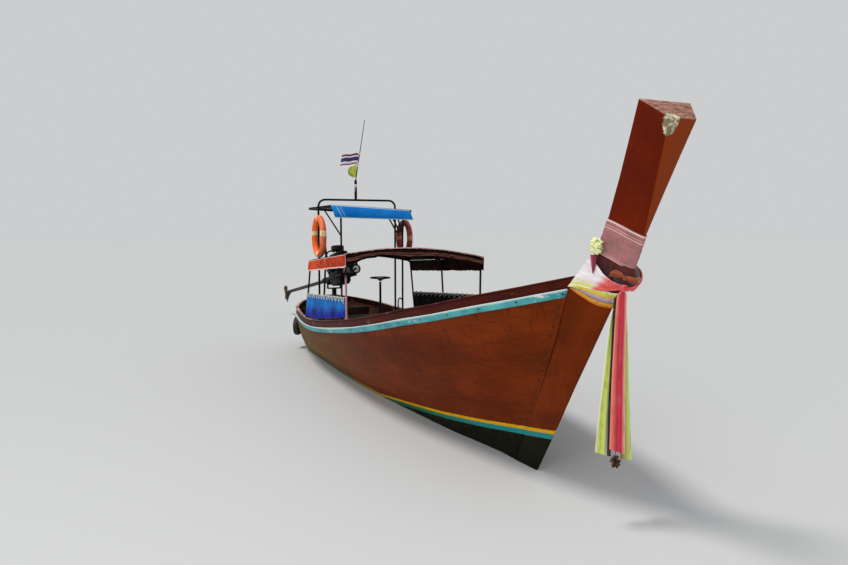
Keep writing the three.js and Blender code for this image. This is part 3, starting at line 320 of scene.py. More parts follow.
YELLOW_PAINT, TEAL_PAINT, OLD_TEAL = srgb(222, 166, 12), srgb(22, 138, 140), srgb(28, 116, 78)
WARM_GLOSS = {"Specular_IOR_Level": 0.12, "Specular_Tint": (1.0, 0.74, 0.45, 1.0)}


def curve_of(finish, pairs, degree):
    """A polynomial through the pairs, as a shader expression of x."""
    numbers = numpy.polyfit([p[0] for p in pairs], [p[1] for p in pairs], degree)
    total = float(numbers[0])
    for number in numbers[1:]:
        total = finish.x * total + float(number)
    return total


def over_stripes(paint):
    """The height over the stripes' upper edge, which runs level aft and sweeps up to the stem."""
    rise = (paint.x - STRIPE_RISES_AT) * STRIPE_SLOPE
    bend = (paint.x - STRIPE_BENDS_AT) | 0.0
    ragged = (paint.noise(26.0, 5, 0.7) - 0.5) * 0.012
    return paint.z - ((rise | STRIPE_LEVEL) + bend * bend * STRIPE_BEND) + ragged


def above(paint, height):
    """1 where the height is over 0, with a hairline of blending."""
    return paint.step(height, -0.001, 0.001)


def hull_paint():
    paint = Finish("hull_paint", **WARM_GLOSS)
    x, z = paint.x, paint.z
    sheer = curve_of(paint, SHEER, 5)
    keel = curve_of(paint, KEEL_LINE, 4)
    up = (z - keel) / (sheer - keel)
    drift = paint.noise(0.9, 2) - 0.5
    board = up * STRAKES + drift * 0.25
    which = board.floor()
    part = board.fract()
    seam = 1 - paint.step((part & (1 - part)), 0.0, 0.020)
    butt_at = x * BUTTS_PER_METRE + paint.random(which) * 7.0
    butt_part = butt_at.fract()
    butt = 1 - paint.step((butt_part & (1 - butt_part)), 0.0, 0.0015)
    tone = paint.random(which * 3.1 + butt_at.floor() * 7.7)
    long_grain = paint.noise(5.0, 6, 0.65, paint.stretched((0.5, 1, 9)))
    patches = paint.noise(1.6, 5, 0.6, paint.stretched((0.7, 1, 1.7)))
    fine = paint.noise(34.0, 5, 0.7, paint.stretched((0.35, 1, 1)))
    colour = paint.mix(paint.step(patches, 0.32, 0.68), srgb(94, 33, 1), srgb(124, 46, 4))
    colour = paint.mix(paint.step(long_grain, 0.45, 0.75) * 0.45, colour, srgb(70, 22, 3))
    colour = paint.mix(tone * 0.35, colour, srgb(80, 24, 3))
    # worn, greyer paint towards the stern
    aft = 1 - paint.step(x + patches * 1.6, -1.8, 2.6)
    weather = paint.step(paint.noise(3.0, 6, 0.7, paint.stretched((0.5, 1, 2.2))), 0.36, 0.62)
    colour = paint.mix(aft * (0.50 + weather * 0.42), colour, srgb(118, 98, 60))
    # runs of dirt below the rail, scuffs and small chips
    runs = paint.step(paint.noise(9.0, 4, 0.6, paint.stretched((2.6, 1, 0.28))), 0.52, 0.74)
    below_rail = 1 - paint.step(sheer - z, 0.05, 0.55)
    colour = paint.darker(runs * below_rail * 0.75, colour, srgb(120, 88, 70))
    scuffs = paint.step(paint.noise(20.0, 5, 0.8, paint.stretched((0.3, 1, 1.9))), 0.57, 0.72)
    colour = paint.mix(scuffs * 0.34, colour, srgb(156, 80, 20))
    chips = paint.step(paint.noise(17.0, 6, 0.75), 0.66, 0.70)
    colour = paint.mix(chips * 0.55, colour, srgb(76, 54, 36))
    # fastenings over each frame, and the puttied row along the stem seam
    rib_part = x.row(RIB_PITCH)
    up_part = ((part * NAILS_PER_STRAKE).fract() - 0.5) * NAIL_ROW
    dots = 1 - paint.step(rib_part * rib_part + up_part * up_part, 0.00004, 0.00010)
    colour = paint.darker(dots * 0.35, colour, srgb(110, 80, 70))
    seam_distance = (SEAM_FOOT - SEAM_BACK) + z * SEAM_RAKE - x
    nail_z = z.row(NAIL_PITCH)
    wobble = (paint.noise(30.0, 2) - 0.5) * 0.02
    putty = 1 - paint.step((seam_distance + wobble) ** 2.0 + nail_z * nail_z * 0.6, 0.00006, 0.00028)
    stem_line = 1 - paint.step((seam_distance + SEAM_BACK).absolute(), 0.002, 0.010)
    colour = paint.mix(putty * 0.75, colour, srgb(54, 38, 32))
    colour = paint.mix(stem_line * 0.3, colour, srgb(34, 12, 5))
    seam_dark = (seam | butt) * (0.10 + weather * 0.26)
    colour = paint.mix(seam_dark, colour, srgb(42, 14, 5))
    # stripes above the bottom paint; the yellow one runs out towards the stern
    height = over_stripes(paint)
    yellow_low = -YELLOW_WIDE * paint.step(x, -1.2, 0.9)
    over_yellow = above(paint, height - yellow_low)
    over_teal = above(paint, height - (yellow_low - TEAL_WIDE))
    rubbed = paint.step(paint.noise(14.0, 6, 0.75, paint.stretched((0.5, 1, 1.5))), 0.53, 0.66)
    yellow = (over_yellow - above(paint, height)) * (1 - rubbed * 0.45)
    colour = paint.mix(yellow, colour, YELLOW_PAINT)
    teal = (over_teal - over_yellow) * (1 - rubbed * 0.35)
    colour = paint.mix(teal, colour, paint.mix(paint.step(x, 1.6, 3.3), OLD_TEAL, TEAL_PAINT))
    slime = paint.mix(paint.step(paint.noise(7.0, 6, 0.7), 0.40, 0.66), srgb(5, 9, 3), srgb(22, 26, 9))
    colour = paint.mix(1 - over_teal, colour, slime)
    # inside, bare boards darkened to near-black as painted shade, with old pink paint high up round the
    # stern
    facing = paint.split(put(paint.tree, "ShaderNodeTexCoord", {}, "Normal"))
    inside = paint.step(facing[1] * paint.y * -1, 0.0, 0.06) | paint.step(facing[2], 0.30, 0.55)
    shaded_inside = paint.mix(paint.step(patches, 0.4, 0.6), srgb(22, 15, 12), srgb(11, 8, 6))
    pink = (1 - paint.step(x, -3.3, -2.7)) * paint.step(z, 0.34, 0.52) * paint.step(long_grain, 0.30, 0.60)
    colour = paint.mix(inside, colour, paint.mix(pink * 0.8, shaded_inside, srgb(128, 84, 72)))
    rough = 0.50 + paint.noise(12.0, 4) * 0.22 + aft * 0.12
    relief = (long_grain * 0.30 + fine * 0.22 + tone * 0.20 - seam * 0.5 - butt * 0.6 - chips * 0.25
              + putty * 0.35 - dots * 0.3)
    return paint.done(colour, rough, relief, 0.004)


def copy_of(name, material, slot, angle=35, bevel=0.0, segments=2):
    """A finer copy of a frame node: merged, its edges over the angle eased by the bevel, shaded
    smooth, and standing for the node."""
    clear()
    piece = node[name].copy()
    piece.data = node[name].data.copy()
    piece.parent = None
    for key in list(piece.keys()):
        del piece[key]
    bpy.context.collection.objects.link(piece)
    piece.name = name + "_made"
    piece.select_set(True)
    bpy.context.view_layer.objects.active = piece
    bpy.ops.object.mode_set(mode="EDIT")
    bpy.ops.mesh.select_all(action="SELECT")
    bpy.ops.mesh.remove_doubles(threshold=MERGED_WITHIN)
    bpy.ops.object.mode_set(mode="OBJECT")
    if bevel:
        ease = piece.modifiers.new("ease", "BEVEL")
        ease.width, ease.segments, ease.limit_method = bevel, segments, "ANGLE"
        ease.angle_limit = math.radians(angle)
        bpy.ops.object.modifier_apply(modifier=ease.name)
    bpy.ops.object.shade_smooth_by_angle(angle=math.radians(angle))
    piece.data.materials.clear()
    piece.data.materials.append(material)
    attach(piece, node[name]["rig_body"])
    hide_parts(name)
    return piece


HULL_PAINT = hull_paint()
for name in ("side_planks_port", "side_planks_starboard", "bottom_planks_port", "bottom_planks_starboard"):
    copy_of(name, HULL_PAINT, "hull_paint", 30)
copy_of("keel", HULL_PAINT, "hull_paint", 20)
copy_of("stern_post", HULL_PAINT, "hull_paint", 20, 0.006)


# Stem and prow: one hewn timber that rises past the planks and widens to a sawn head. It has the
# hull's paint over open grain. The head is bare, pink-brown end grain, chipped at its front corner.
RAKE = (0.462, 0.887)  # the way the stem runs up, as (x, z)
HEAD_SLOPE, HEAD_HIGH = 0.8235, 7.3066  # the sawn head lies above z = HEAD_HIGH - HEAD_SLOPE * x
CHIP, CHIP_HALF = (5.337, -0.084, 2.868), (0.066, 0.062, 0.100)


def prow_paint():
    paint = Finish("prow_paint", **WARM_GLOSS)
    x, y, z = paint.x, paint.y, paint.z
    along = x * RAKE[0] + z * RAKE[1]
    across = x * RAKE[1] - z * RAKE[0]
    grain = paint.noise(7.0, 7, 0.7, paint.join(along * 0.35, y * 5.0, across * 5.0))
    patches = paint.noise(2.4, 5, 0.6)
    fine = paint.noise(60.0, 5, 0.7, paint.join(along * 0.2, y, across))
    low = paint.mix(paint.step(patches, 0.34, 0.66), srgb(94, 32, 1), srgb(120, 43, 4))
    colour = paint.mix(paint.step(patches, 0.34, 0.66), srgb(94, 20, 2), srgb(114, 29, 4))
    colour = paint.mix(paint.step(z, 1.5, 2.1), low, colour)
    colour = paint.mix(paint.step(grain, 0.50, 0.78) * 0.5, colour, srgb(70, 14, 3))
    scratch = paint.step(paint.noise(22.0, 3, 0.9, paint.join(along * 1.4, y, across * 0.3)), 0.70, 0.73)
    colour = paint.mix(scratch * 0.30, colour, srgb(150, 84, 52))
    spots = paint.step(paint.cells(13.0), 0.02, 0.09)
    colour = paint.mix((1 - spots) * 0.35, colour, srgb(136, 64, 34))
    # the front face is lighter where it faces the light: a painted highlight
    facing = paint.split(put(paint.tree, "ShaderNodeNewGeometry", {}, "Normal"))[0]
    front = paint.step(facing + (grain - 0.5) * 0.1, 0.72, 0.84) * paint.step(z, 1.9, 2.15)
    colour = paint.mix(front * 0.8, colour, srgb(140, 58, 18))
    # end grain on the head
    head = paint.step(z + x * HEAD_SLOPE - HEAD_HIGH, -0.010, -0.003)
    rings = paint.noise(26.0, 7, 0.75, paint.join(x * 1.6, y * 0.45, z))
    bare = paint.mix(paint.step(rings, 0.36, 0.62), srgb(116, 72, 58), srgb(180, 138, 122))
    bare = paint.mix(paint.step(paint.noise(42.0, 4, 0.8), 0.58, 0.68) * 0.8, bare, srgb(86, 42, 28))
    colour = paint.mix(head, colour, bare)
    # chip of filler at the front corner
    dx, dy, dz = ((at - CHIP[k]) / CHIP_HALF[k] for k, at in enumerate((x, y, z)))
    wild = (paint.noise(24.0, 5, 0.7) - 0.5) * 1.9
    chip = 1 - paint.step(dx * dx + dy * dy + dz * dz + wild, 0.75, 0.95)
    filler = paint.mix(paint.step(paint.noise(30.0, 4), 0.42, 0.62), srgb(128, 116, 84),
                       srgb(222, 214, 190))
    colour = paint.mix(chip, colour, filler)
    # stripes and bottom paint, as on the planks
    height = over_stripes(paint)
    over_yellow = above(paint, height + YELLOW_WIDE)
    over_teal = above(paint, height + (YELLOW_WIDE + TEAL_WIDE))
    colour = paint.mix((over_yellow - above(paint, height)) * 0.9, colour, YELLOW_PAINT)
    colour = paint.mix((over_teal - over_yellow) * 0.9, colour, TEAL_PAINT)
    colour = paint.mix(1 - over_teal, colour, srgb(12, 16, 6))
    rough = 0.42 + paint.noise(10.0, 4) * 0.22 + head * 0.3 + chip * 0.2
    relief = grain * 0.45 + fine * 0.2 - scratch * 0.25 + head * rings * 1.6 - chip * 0.8
    return paint.done(colour, rough, relief, 0.004)


PROW_PAINT = prow_paint()
copy_of("stem_post", PROW_PAINT, "hull_paint", 20, 0.009, 3)


# Rub rail: a moulded batten under the sheer, nailed through the planks. It is pale teal, with white
# showing where the teal has worn through, and a pale painted highlight along its upper edge.
RAIL_NAIL_PITCH = 0.42


def rail_paint():
    paint = Finish("rail_paint")
    sheer = curve_of(paint, SHEER, 5)
    aft = 1 - paint.step(paint.x, -2.9, -2.4)
    level = paint.z - sheer + aft * (paint.x + 2.9) * 0.08
    worn = paint.noise(8.0, 6, 0.72, paint.stretched((0.55, 1, 1.6)))
    blotch = paint.step(worn, 0.56, 0.66)
    fine = paint.noise(48.0, 5, 0.7, paint.stretched((0.3, 1, 1)))
    forward = paint.step(paint.x, 2.6, 4.0)
    colour = paint.mix(paint.step(paint.noise(2.2, 4), 0.35, 0.65), srgb(52, 146, 156), srgb(92, 180, 184))
    colour = paint.mix(blotch * (0.55 + forward * 0.4), colour, srgb(214, 232, 232))
    deep = paint.step(paint.noise(5.0, 5, 0.7, paint.stretched((0.7, 1, 1))), 0.62, 0.70) * forward
    colour = paint.mix(deep * 0.7, colour, srgb(44, 126, 168))
    # pale band along the upper edge: a painted highlight
    edge = paint.step(level + (fine - 0.5) * 0.02, -0.022, -0.010)
    colour = paint.mix(edge * 0.75, colour, srgb(222, 226, 220))
    spot = paint.x.row(RAIL_NAIL_PITCH)
    drop = level + 0.036
    nails = 1 - paint.step(spot * spot + drop * drop, 0.00003, 0.00012)
    runs = 1 - paint.step(spot * spot * 2.2 + (drop + 0.012) * (drop + 0.012) * 0.35, 0.00005, 0.0003)
    colour = paint.mix(runs * 0.5, colour, srgb(118, 84, 54))
    colour = paint.mix(nails, colour, srgb(48, 36, 30))
    grime = paint.step(paint.noise(20.0, 6, 0.75), 0.60, 0.70)
    colour = paint.darker(grime * 0.5, colour, srgb(150, 150, 140))
    return paint.done(colour, 0.42 + worn * 0.25, fine * 0.4 + blotch * 0.3 - nails * 0.6, 0.0025)


RAIL_PAINT = rail_paint()
for side in ("port", "starboard"):
    copy_of(f"rub_rail_{side}", RAIL_PAINT, "teal_paint", 40, 0.008, 3)


# Wash board and its cap: thin boards that stand on the sheer, nailed to blocks and painted dark red.
# Their upper faces carry a pale painted highlight, stronger where they are scraped to bare and old pink
# paint, most of all round the stern. Their inner faces are darkened as painted shade.
def board_paint():
    paint = Finish("board_paint", Specular_IOR_Level=0.12, Specular_Tint=(1.0, 0.72, 0.62, 1.0))
    grain = paint.noise(9.0, 6, 0.7, paint.stretched((0.3, 1, 5)))
    worn = paint.noise(6.0, 6, 0.72, paint.stretched((0.4, 1, 1.4)))
    fine = paint.noise(70.0, 4, 0.7, paint.stretched((0.25, 1, 1)))
    colour = paint.mix(paint.step(worn, 0.35, 0.65), srgb(58, 13, 8), srgb(80, 22, 14))
    colour = paint.mix(paint.step(grain, 0.52, 0.74) * 0.45, colour, srgb(42, 11, 8))
    # upper faces lighter: a painted highlight, strongest where the paint is scraped
    up = paint.split(put(paint.tree, "ShaderNodeNewGeometry", {}, "Normal"))[2]
    top = paint.step(up, 0.55, 0.85)
    aft = 1 - paint.step(paint.x, -2.6, 1.2)
    scraped = paint.step(worn + fine * 0.25, 0.58, 0.70)
    colour = paint.mix(top * (0.35 + scraped * 0.5) * (0.25 + aft * 0.75), colour, srgb(206, 170, 156))
    # inner faces darker: painted shade
    side = paint.split(put(paint.tree, "ShaderNodeTexCoord", {}, "Normal"))[1]
    inner = paint.step(side * paint.y * -1, 0.02, 0.20)
    colour = paint.mix(inner * 0.75, colour, srgb(22, 12, 10))
    bare = paint.step(paint.noise(15.0, 6, 0.75, paint.stretched((0.4, 1, 1))) + aft * 0.10, 0.62, 0.70)
    colour = paint.mix(bare * 0.6, colour, srgb(160, 112, 92))
    return paint.done(colour, 0.45 + worn * 0.25, grain * 0.5 + fine * 0.25 - bare * 0.4, 0.002)


BOARD_PAINT = board_paint()
for side in ("port", "starboard"):
    copy_of(f"coaming_{side}", BOARD_PAINT, "dark_red_paint", 40, 0.004)
    copy_of(f"cap_rail_{side}", BOARD_PAINT, "dark_red_paint", 40, 0.006, 3)


# Frames, floor timbers and keelson: sawn hardwood, nailed inside the planks and bare. Their near-black
# colour is painted shade, as they lie in the hull's shadow.
def timber(name, light, dark, grain_by, tint):
    """Unpainted wood. grain_by stretches the grain's noise: small along the board, large across."""
    wood = Finish(name)
    grain = wood.noise(8.0, 7, 0.7, wood.stretched(grain_by))
    fine = wood.noise(60.0, 5, 0.75, wood.stretched(grain_by))
    wide = wood.noise(1.7, 5, 0.6)
    colour = wood.mix(wood.step(grain, 0.34, 0.68), srgb(*light), srgb(*dark))
    colour = wood.mix(wood.step(wide, 0.45, 0.72) * 0.5, colour, srgb(*tint))
    cracks = wood.step(fine, 0.64, 0.70)
    colour = wood.darker(cracks * 0.6, colour, srgb(110, 96, 84))
    return wood.done(colour, 0.66 + wide * 0.2, grain * 0.6 + fine * 0.35 - cracks * 0.5, 0.003)


# near-black: painted shade inside the hull
SHADE_DARK_BILGE_WOOD = timber("shade_dark_bilge_wood", (40, 28, 20), (20, 14, 10), (1, 0.3, 1), (30, 24, 20))
copy_of("frames", SHADE_DARK_BILGE_WOOD, "bare_wood")


# Bottom boards, thwarts and decks: planed planks, bare and walked grey, with a little old brown
# paint left on the seats. Each thwart rests on risers and is screwed down.
DECK_WOOD = timber("deck_wood", (58, 42, 31), (32, 22, 16), (0.35, 6, 6), (74, 60, 49))
SEAT_WOOD = timber("seat_wood", (56, 36, 25), (30, 19, 13), (6, 0.35, 6), (56, 26, 18))
for name in ("sole", "foredeck", "aft_deck"):
    copy_of(name, DECK_WOOD, "deck_wood", 40, 0.002, 1)
for number in range(1, 6):
    copy_of(f"thwart_{number}", SEAT_WOOD, "deck_wood", 40, 0.005)


# Engine bed and swivel: a heavy cross beam and post, bolted through the frames. The steel spindle on
# top carries the welded yoke, which turns and lets the engine tip.
BED_WOOD = timber("bed_wood", (62, 42, 28), (34, 22, 15), (5, 0.35, 5), (34, 26, 22))
copy_of("engine_bed", BED_WOOD, "bare_wood", 40, 0.006)


def steel(name, base, rust_amount, rough, metal, post=None):
    """Painted or bare steel with rust in spots and along runs. Where post is given, the starboard
    post that stands forward of that x has faded to pink."""
    plate = Finish(name, Specular_IOR_Level=0.07)
    wide = plate.noise(9.0, 6, 0.7)
    fine = plate.noise(90.0, 4, 0.7)
    rust = plate.step(wide + (fine - 0.5) * 0.35, 0.66 - rust_amount * 0.16, 0.74 - rust_amount * 0.12)
    tone = plate.step(plate.noise(30.0, 4), 0.3, 0.7)
    light = tuple(min(255, c * 1.3 + 8) for c in base)
    colour = plate.mix(tone, srgb(*base), srgb(*light))
    brown = plate.mix(plate.step(fine, 0.35, 0.65), srgb(74, 38, 20), srgb(132, 70, 32))
    colour = plate.mix(rust, colour, brown)
    grease = plate.step(plate.noise(4.0, 5, 0.65), 0.55, 0.72)
    colour = plate.darker(grease * 0.5, colour, srgb(96, 88, 80))
    if post is not None:
        low = 1 - plate.step(plate.z + (wide - 0.5) * 0.2, 1.52, 1.62)
        faded = plate.step(plate.x, post, post + 0.02) * low
        faded = faded * (1 - plate.step(plate.y, -0.6, -0.5))
        colour = plate.mix(faded * (0.65 + tone * 0.3), colour, srgb(196, 148, 150))
    return plate.done(colour, rough + rust * 0.35 + wide * 0.1, wide * 0.3 + fine * 0.2 + rust * 0.35,
                      0.0012, metal - rust * metal if metal else 0.0)


DARK_STEEL = steel("dark_steel", (20, 18, 17), 0.6, 0.5, 0.2)
WORN_STEEL = steel("worn_steel", (92, 90, 86), 0.45, 0.36, 0.8)
copy_of("spindle", WORN_STEEL, "steel")
copy_of("swivel_head", DARK_STEEL, "steel", bevel=0.002)


# Engine, long tail and propeller: an old diesel, oily and dark, on a welded cradle that tips on the
# swivel's pin. Its shaft runs aft in a steel tube to a cast propeller.
OILY_IRON = steel("oily_iron", (13, 15, 14), 0.30, 0.45, 0.1)
for name, finish, slot, bevel in (
    ("engine_cradle", DARK_STEEL, "steel", 0.003), ("engine_block", OILY_IRON, "cast_iron", 0.003),
    ("engine_head", OILY_IRON, "cast_iron", 0.003), ("air_cleaner", DARK_STEEL, "steel", 0),
    ("exhaust", DARK_STEEL, "steel", 0), ("alternator", WORN_STEEL, "bright_steel", 0),
    ("front_pulley", WORN_STEEL, "bright_steel", 0), ("tiller", DARK_STEEL, "steel", 0),
    ("tail_tube", DARK_STEEL, "steel", 0),
):
    copy_of(name, finish, slot, bevel=bevel)
BRONZE = steel("bronze_cast", (74, 56, 36), 0.2, 0.4, 0.8)
copy_of("propeller", BRONZE, "bronze", 40)


# Helm frame: a hoop of bent pipe behind the helm and a light roof in front of it, clamped and
# welded from steel tube and brushed with dark paint.
TUBE_PAINT = steel("tube_paint_worn", (14, 14, 16), 0.30, 0.5, 0.0)
for name, bevel in (("helm_hoop", 0.004), ("helm_roof_frame", 0.004), ("steering_column", 0.004),
                    ("helm_roof", 0.003), ("mast", 0.003)):
    copy_of(name, TUBE_PAINT, "tube_paint", 30, bevel)


# Passenger canopy, frame: two pipe rails on posts and three bent bows. The post nearest the camera
# has faded to pale pink.
PINK_POST = 0.70
CANOPY_PAINT = steel("canopy_paint_worn", (14, 14, 16), 0.30, 0.5, 0.0, PINK_POST)
for name in ("canopy_side_port", "canopy_side_starboard", "canopy_bow_1", "canopy_bow_2", "canopy_bow_3"):
    copy_of(name, CANOPY_PAINT, "tube_paint", 30, 0.004)


# Passenger canopy, roof: a tarpaulin pulled over the bows, slack between them, its front edge bound with
# a pale tape. Its near-black red is painted shade, as its underside lies in shadow, and its lighter fold
# crests are partly dust and partly painted highlight. A front curtain is rolled up and tied under that
# edge.
def settled(piece, name, material, stands_for=None, body="hull"):
    """Names a finished piece, gives it its finish and body, and hides the node it stands for."""
    piece.name = name
    piece.data.materials.clear()
    piece.data.materials.append(material)
    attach(piece, body)
    if stands_for:
        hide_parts(stands_for)
    return piece


def cloth(along, across, place, thick):
    """A sheet laid by place(u, v): a grid's points set one by one, with a thin wall."""
    clear()
    bpy.ops.mesh.primitive_grid_add(x_subdivisions=along, y_subdivisions=across, size=1)
    piece = bpy.context.object
    for point in piece.data.vertices:
        point.co = place(point.co.x + 0.5, point.co.y + 0.5)
    bpy.ops.object.mode_set(mode="EDIT")
    bpy.ops.mesh.select_all(action="SELECT")
    bpy.ops.mesh.normals_make_consistent(inside=False)
    bpy.ops.object.mode_set(mode="OBJECT")
    wall = piece.modifiers.new("wall", "SOLIDIFY")
    wall.thickness, wall.offset = thick, 0
    bpy.ops.object.modifier_apply(modifier=wall.name)
    bpy.ops.object.shade_smooth_by_angle(angle=math.radians(60))
    return piece


def laid(name, place, material, grid, thick, stands_for=None):
    """A finished sheet, laid by place(u, v)."""
    piece = settled(cloth(*grid, place, thick), name, material, stands_for)


def ripple(x, y, z, size, seed=0.0):
    """Smooth chance, from -1 to 1, in waves of about this size."""
    return noise.noise(Vector((x / size, y / size, z / size + seed)))


ROOF = solid_of("canopy_roof")
BOWS = (-1.580, -0.420, 0.770)
CANOPY_AFT, CANOPY_FORE, HALF_AFT, HALF_FORE = -1.660, 0.830, 0.866, 0.972
SLACK, SLACK_REACH = 0.030, 0.40
ROLL_X, TAPE_X = 0.797, 0.838
OVERHEAD, BESIDE_EDGE, DOWN = 3, 0.0003, Vector((0, 0, -1))


def roof_at(x, y):
    """The frame's roof at this place, a hair beside the mesh's own edges."""
    above_it = Vector((x, y + BESIDE_EDGE, OVERHEAD))
    return ROOF.ray_cast(above_it, DOWN)[0] or ROOF.find_nearest(above_it)[0]


def roof_place(u, v):
    x = CANOPY_AFT + (CANOPY_FORE - CANOPY_AFT) * u
    half = HALF_AFT + (HALF_FORE - HALF_AFT) * u
    way = 2 * v - 1
    within = min(max(x, CANOPY_AFT + 0.003), CANOPY_FORE - 0.003)
    under = roof_at(within, way * (half - 0.006))
    inside = max(0.0, 1 - abs(way) ** 5)
    slack = SLACK * min(1.0, min(abs(x - bow) for bow in BOWS) / SLACK_REACH) * inside
    crease = 0.010 * ripple(x * 3, way * half, 0, 0.30) + 0.005 * ripple(x * 2.4, way * half, 0, 0.09, 3.0)
    return Vector((x, way * half, under.z - 0.004 - slack + crease * (0.25 + inside)))


def tarp(name, light, dark, hem, crest_dust_and_highlight, hem_u=(0, 0), hem_v=(0, 0), threads=(700, 500)):
    """Woven tarpaulin: creases with painted shade in their troughs, dust and painted highlights on their
    crests, and a bound edge. hem_u and hem_v are the binding's share of the sheet at the low and high end,
    and threads says how fine the weave is both ways."""
    sheet = Finish(name, Specular_IOR_Level=0.08)
    u, v, _ = sheet.uv()
    wide = sheet.noise(2.4, 6, 0.65)
    fold = sheet.noise(9.0, 6, 0.7, sheet.stretched((1, 1, 2.2)))
    fine = sheet.noise(140.0, 3, 0.6)
    colour = sheet.mix(sheet.step(wide, 0.36, 0.64), srgb(*light), srgb(*dark))
    # fold crests: dust, and on the dark cloths a painted highlight
    colour = sheet.mix(sheet.step(fold, 0.56, 0.70) * 0.45, colour, srgb(*crest_dust_and_highlight))
    # fold troughs: painted shade
    colour = sheet.darker(sheet.step(fold, 0.50, 0.36) * 0.5, colour, srgb(120, 110, 110))
    weave = (u * threads[0]).sine() * (v * threads[1]).sine()
    colour = sheet.darker((weave + 1) * 0.14, colour, srgb(150, 140, 130))
    wander = sheet.noise(26.0, 5, 0.75) - 0.5
    edge = 0.0
    for at, (low, high) in ((u, hem_u), (v, hem_v)):
        if low:
            edge = (1 - sheet.step(at + wander * low * 0.5, low * 0.85, low)) | edge
        if high:
            edge = sheet.step(at + wander * high * 0.5, 1 - high, 1 - high * 0.85) | edge
    colour = sheet.mix(edge * 0.9, colour, srgb(*hem))
    return sheet.done(colour, 0.6 + wide * 0.2, fold * 0.6 + fine * 0.15 + weave * 0.12, 0.003)


# near-black red: painted shade of the roof's underside
SHADED_ROOF_CLOTH = tarp("roof_cloth", (40, 16, 15), (18, 8, 9), (222, 168, 158), (92, 62, 52),
                  hem_u=(0.010, 0.016))
laid("canopy_sheet", roof_place, SHADED_ROOF_CLOTH, grid=(72, 40), thick=0.004,
     stands_for="canopy_roof")

ROLL_AT = (0, 0.05, 0.14, 0.26, 0.37, 0.46, 0.60, 0.80, 1.0)  # share of the way across
ROLL_DEEP = (0.060, 0.064, 0.044, 0.040, 0.064, 0.070, 0.054, 0.056, 0.058)


def roll_place(u, v):
    """A front curtain, rolled up and bunched under the roof's front edge."""
    y = (2 * u - 1) * (HALF_FORE - 0.020)
    deep = float(numpy.interp(u, ROLL_AT, ROLL_DEEP))
    turn = v * 2 * math.pi * 0.98
    bunch = 1 + 0.20 * ripple(y, 0, 0, 0.07) + 0.16 * math.sin(turn * 5 + 9 * ripple(y, 0, 1, 0.25))
    bunch += 0.12 * ripple(y * 3, math.cos(turn), math.sin(turn), 0.35)
    bunch += 0.12 * ripple(y, turn * 0.02, 0, 0.022)
    under = roof_at(CANOPY_FORE - 0.018, y)
    return Vector((ROLL_X + 0.72 * deep * bunch * math.cos(turn), y,
                   under.z - 0.012 - deep * (1 - 0.98 * bunch * math.sin(turn))))


# the rolled curtain is near-black as painted shade under the roof's front edge
SHADED_ROLL_CLOTH = tarp("shaded_roll_cloth", (34, 12, 8), (8, 3, 3), (120, 76, 64), (92, 42, 30), hem_v=(0.05, 0.05))
laid("canopy_front_roll", roll_place, SHADED_ROLL_CLOTH, grid=(220, 44), thick=0.003)


def tape_place(u, v):
    y = (2 * u - 1) * (HALF_FORE - 0.008)
    ragged = 0.006 * ripple(y, 0, 0, 0.05) + 0.004 * ripple(y, 4, 0, 0.015)
    top = roof_at(CANOPY_FORE - 0.008, y * 0.998)
    return Vector((TAPE_X + 0.004 * math.sin(v * 3.1), y, top.z + 0.004 + (ragged - 0.013) * v))


TAPE_CLOTH = tarp("tape_cloth", (252, 222, 214), (222, 170, 158), (150, 96, 88), (150, 92, 80),
                  hem_v=(0.10, 0.10), threads=(900, 60))
laid("canopy_tape", tape_place, TAPE_CLOTH, grid=(240, 5), thick=0.002)


# Valances: the same roof's side flaps, of one orange cloth. The port one is seen from inside and is
# painted dark red as painted shade. Each is nailed up at the eave, hangs free, and ends in a ragged hem
# that is pink on the orange one.
def edges_of(name):
    """The lower and the upper edge of a hanging solid, as two functions of x, and its two ends."""
    rows = {}
    for corner in node[name].data.vertices:
        rows.setdefault(round(corner.co.x, 2), []).append(corner.co.copy())
    places = sorted(rows)
    low, high = [], []
    for x in places:
        heights = sorted(rows[x], key=lambda corner: corner.z)
        middle = (heights[0].z + heights[-1].z) / 2
        under = [c for c in heights if c.z < middle]
        over = [c for c in heights if c.z >= middle]
        low.append((sum(c.y for c in under) / len(under), min(c.z for c in under)))
        high.append((sum(c.y for c in over) / len(over), max(c.z for c in over)))

    def at(x, line):
        return (float(numpy.interp(x, places, [p[0] for p in line])),
                float(numpy.interp(x, places, [p[1] for p in line])))

    return (lambda x: at(x, low)), (lambda x: at(x, high)), places[0], places[-1]


def flap(name, side, wave, ragged, lift=0.0):
    """place(u, v) for a hanging sheet: u runs forward, v downwards. It waves and stands off to its
    side, and its lower edge is ragged."""
    low, high, aft, fore = edges_of(name)

    def place(u, v):
        x = aft + (fore - aft) * u
        (low_y, low_z), (high_y, high_z) = low(x), high(x)
        y = high_y + (low_y - high_y) * v
        z = high_z + (low_z - high_z) * v
        folds = 0.6 * math.sin(x * 15 + 2.2 * ripple(x, 0, 0, 0.5)) + ripple(x, 0, z * 0.4, 0.10)
        swell = wave * folds * v ** 0.8
        tatter = 0.6 + ripple(x, 3, 0, 0.035) + 0.8 * ripple(x, 7, 0, 0.15)
        return Vector((x, y + side * (swell + lift), z + ragged * tatter * v ** 3))

    return place


ORANGE_CLOTH = tarp("orange_cloth", (226, 84, 26), (176, 46, 12), (246, 206, 204), (206, 104, 60),
                    hem_u=(0.003, 0.003), hem_v=(0.05, 0.11), threads=(1500, 110))
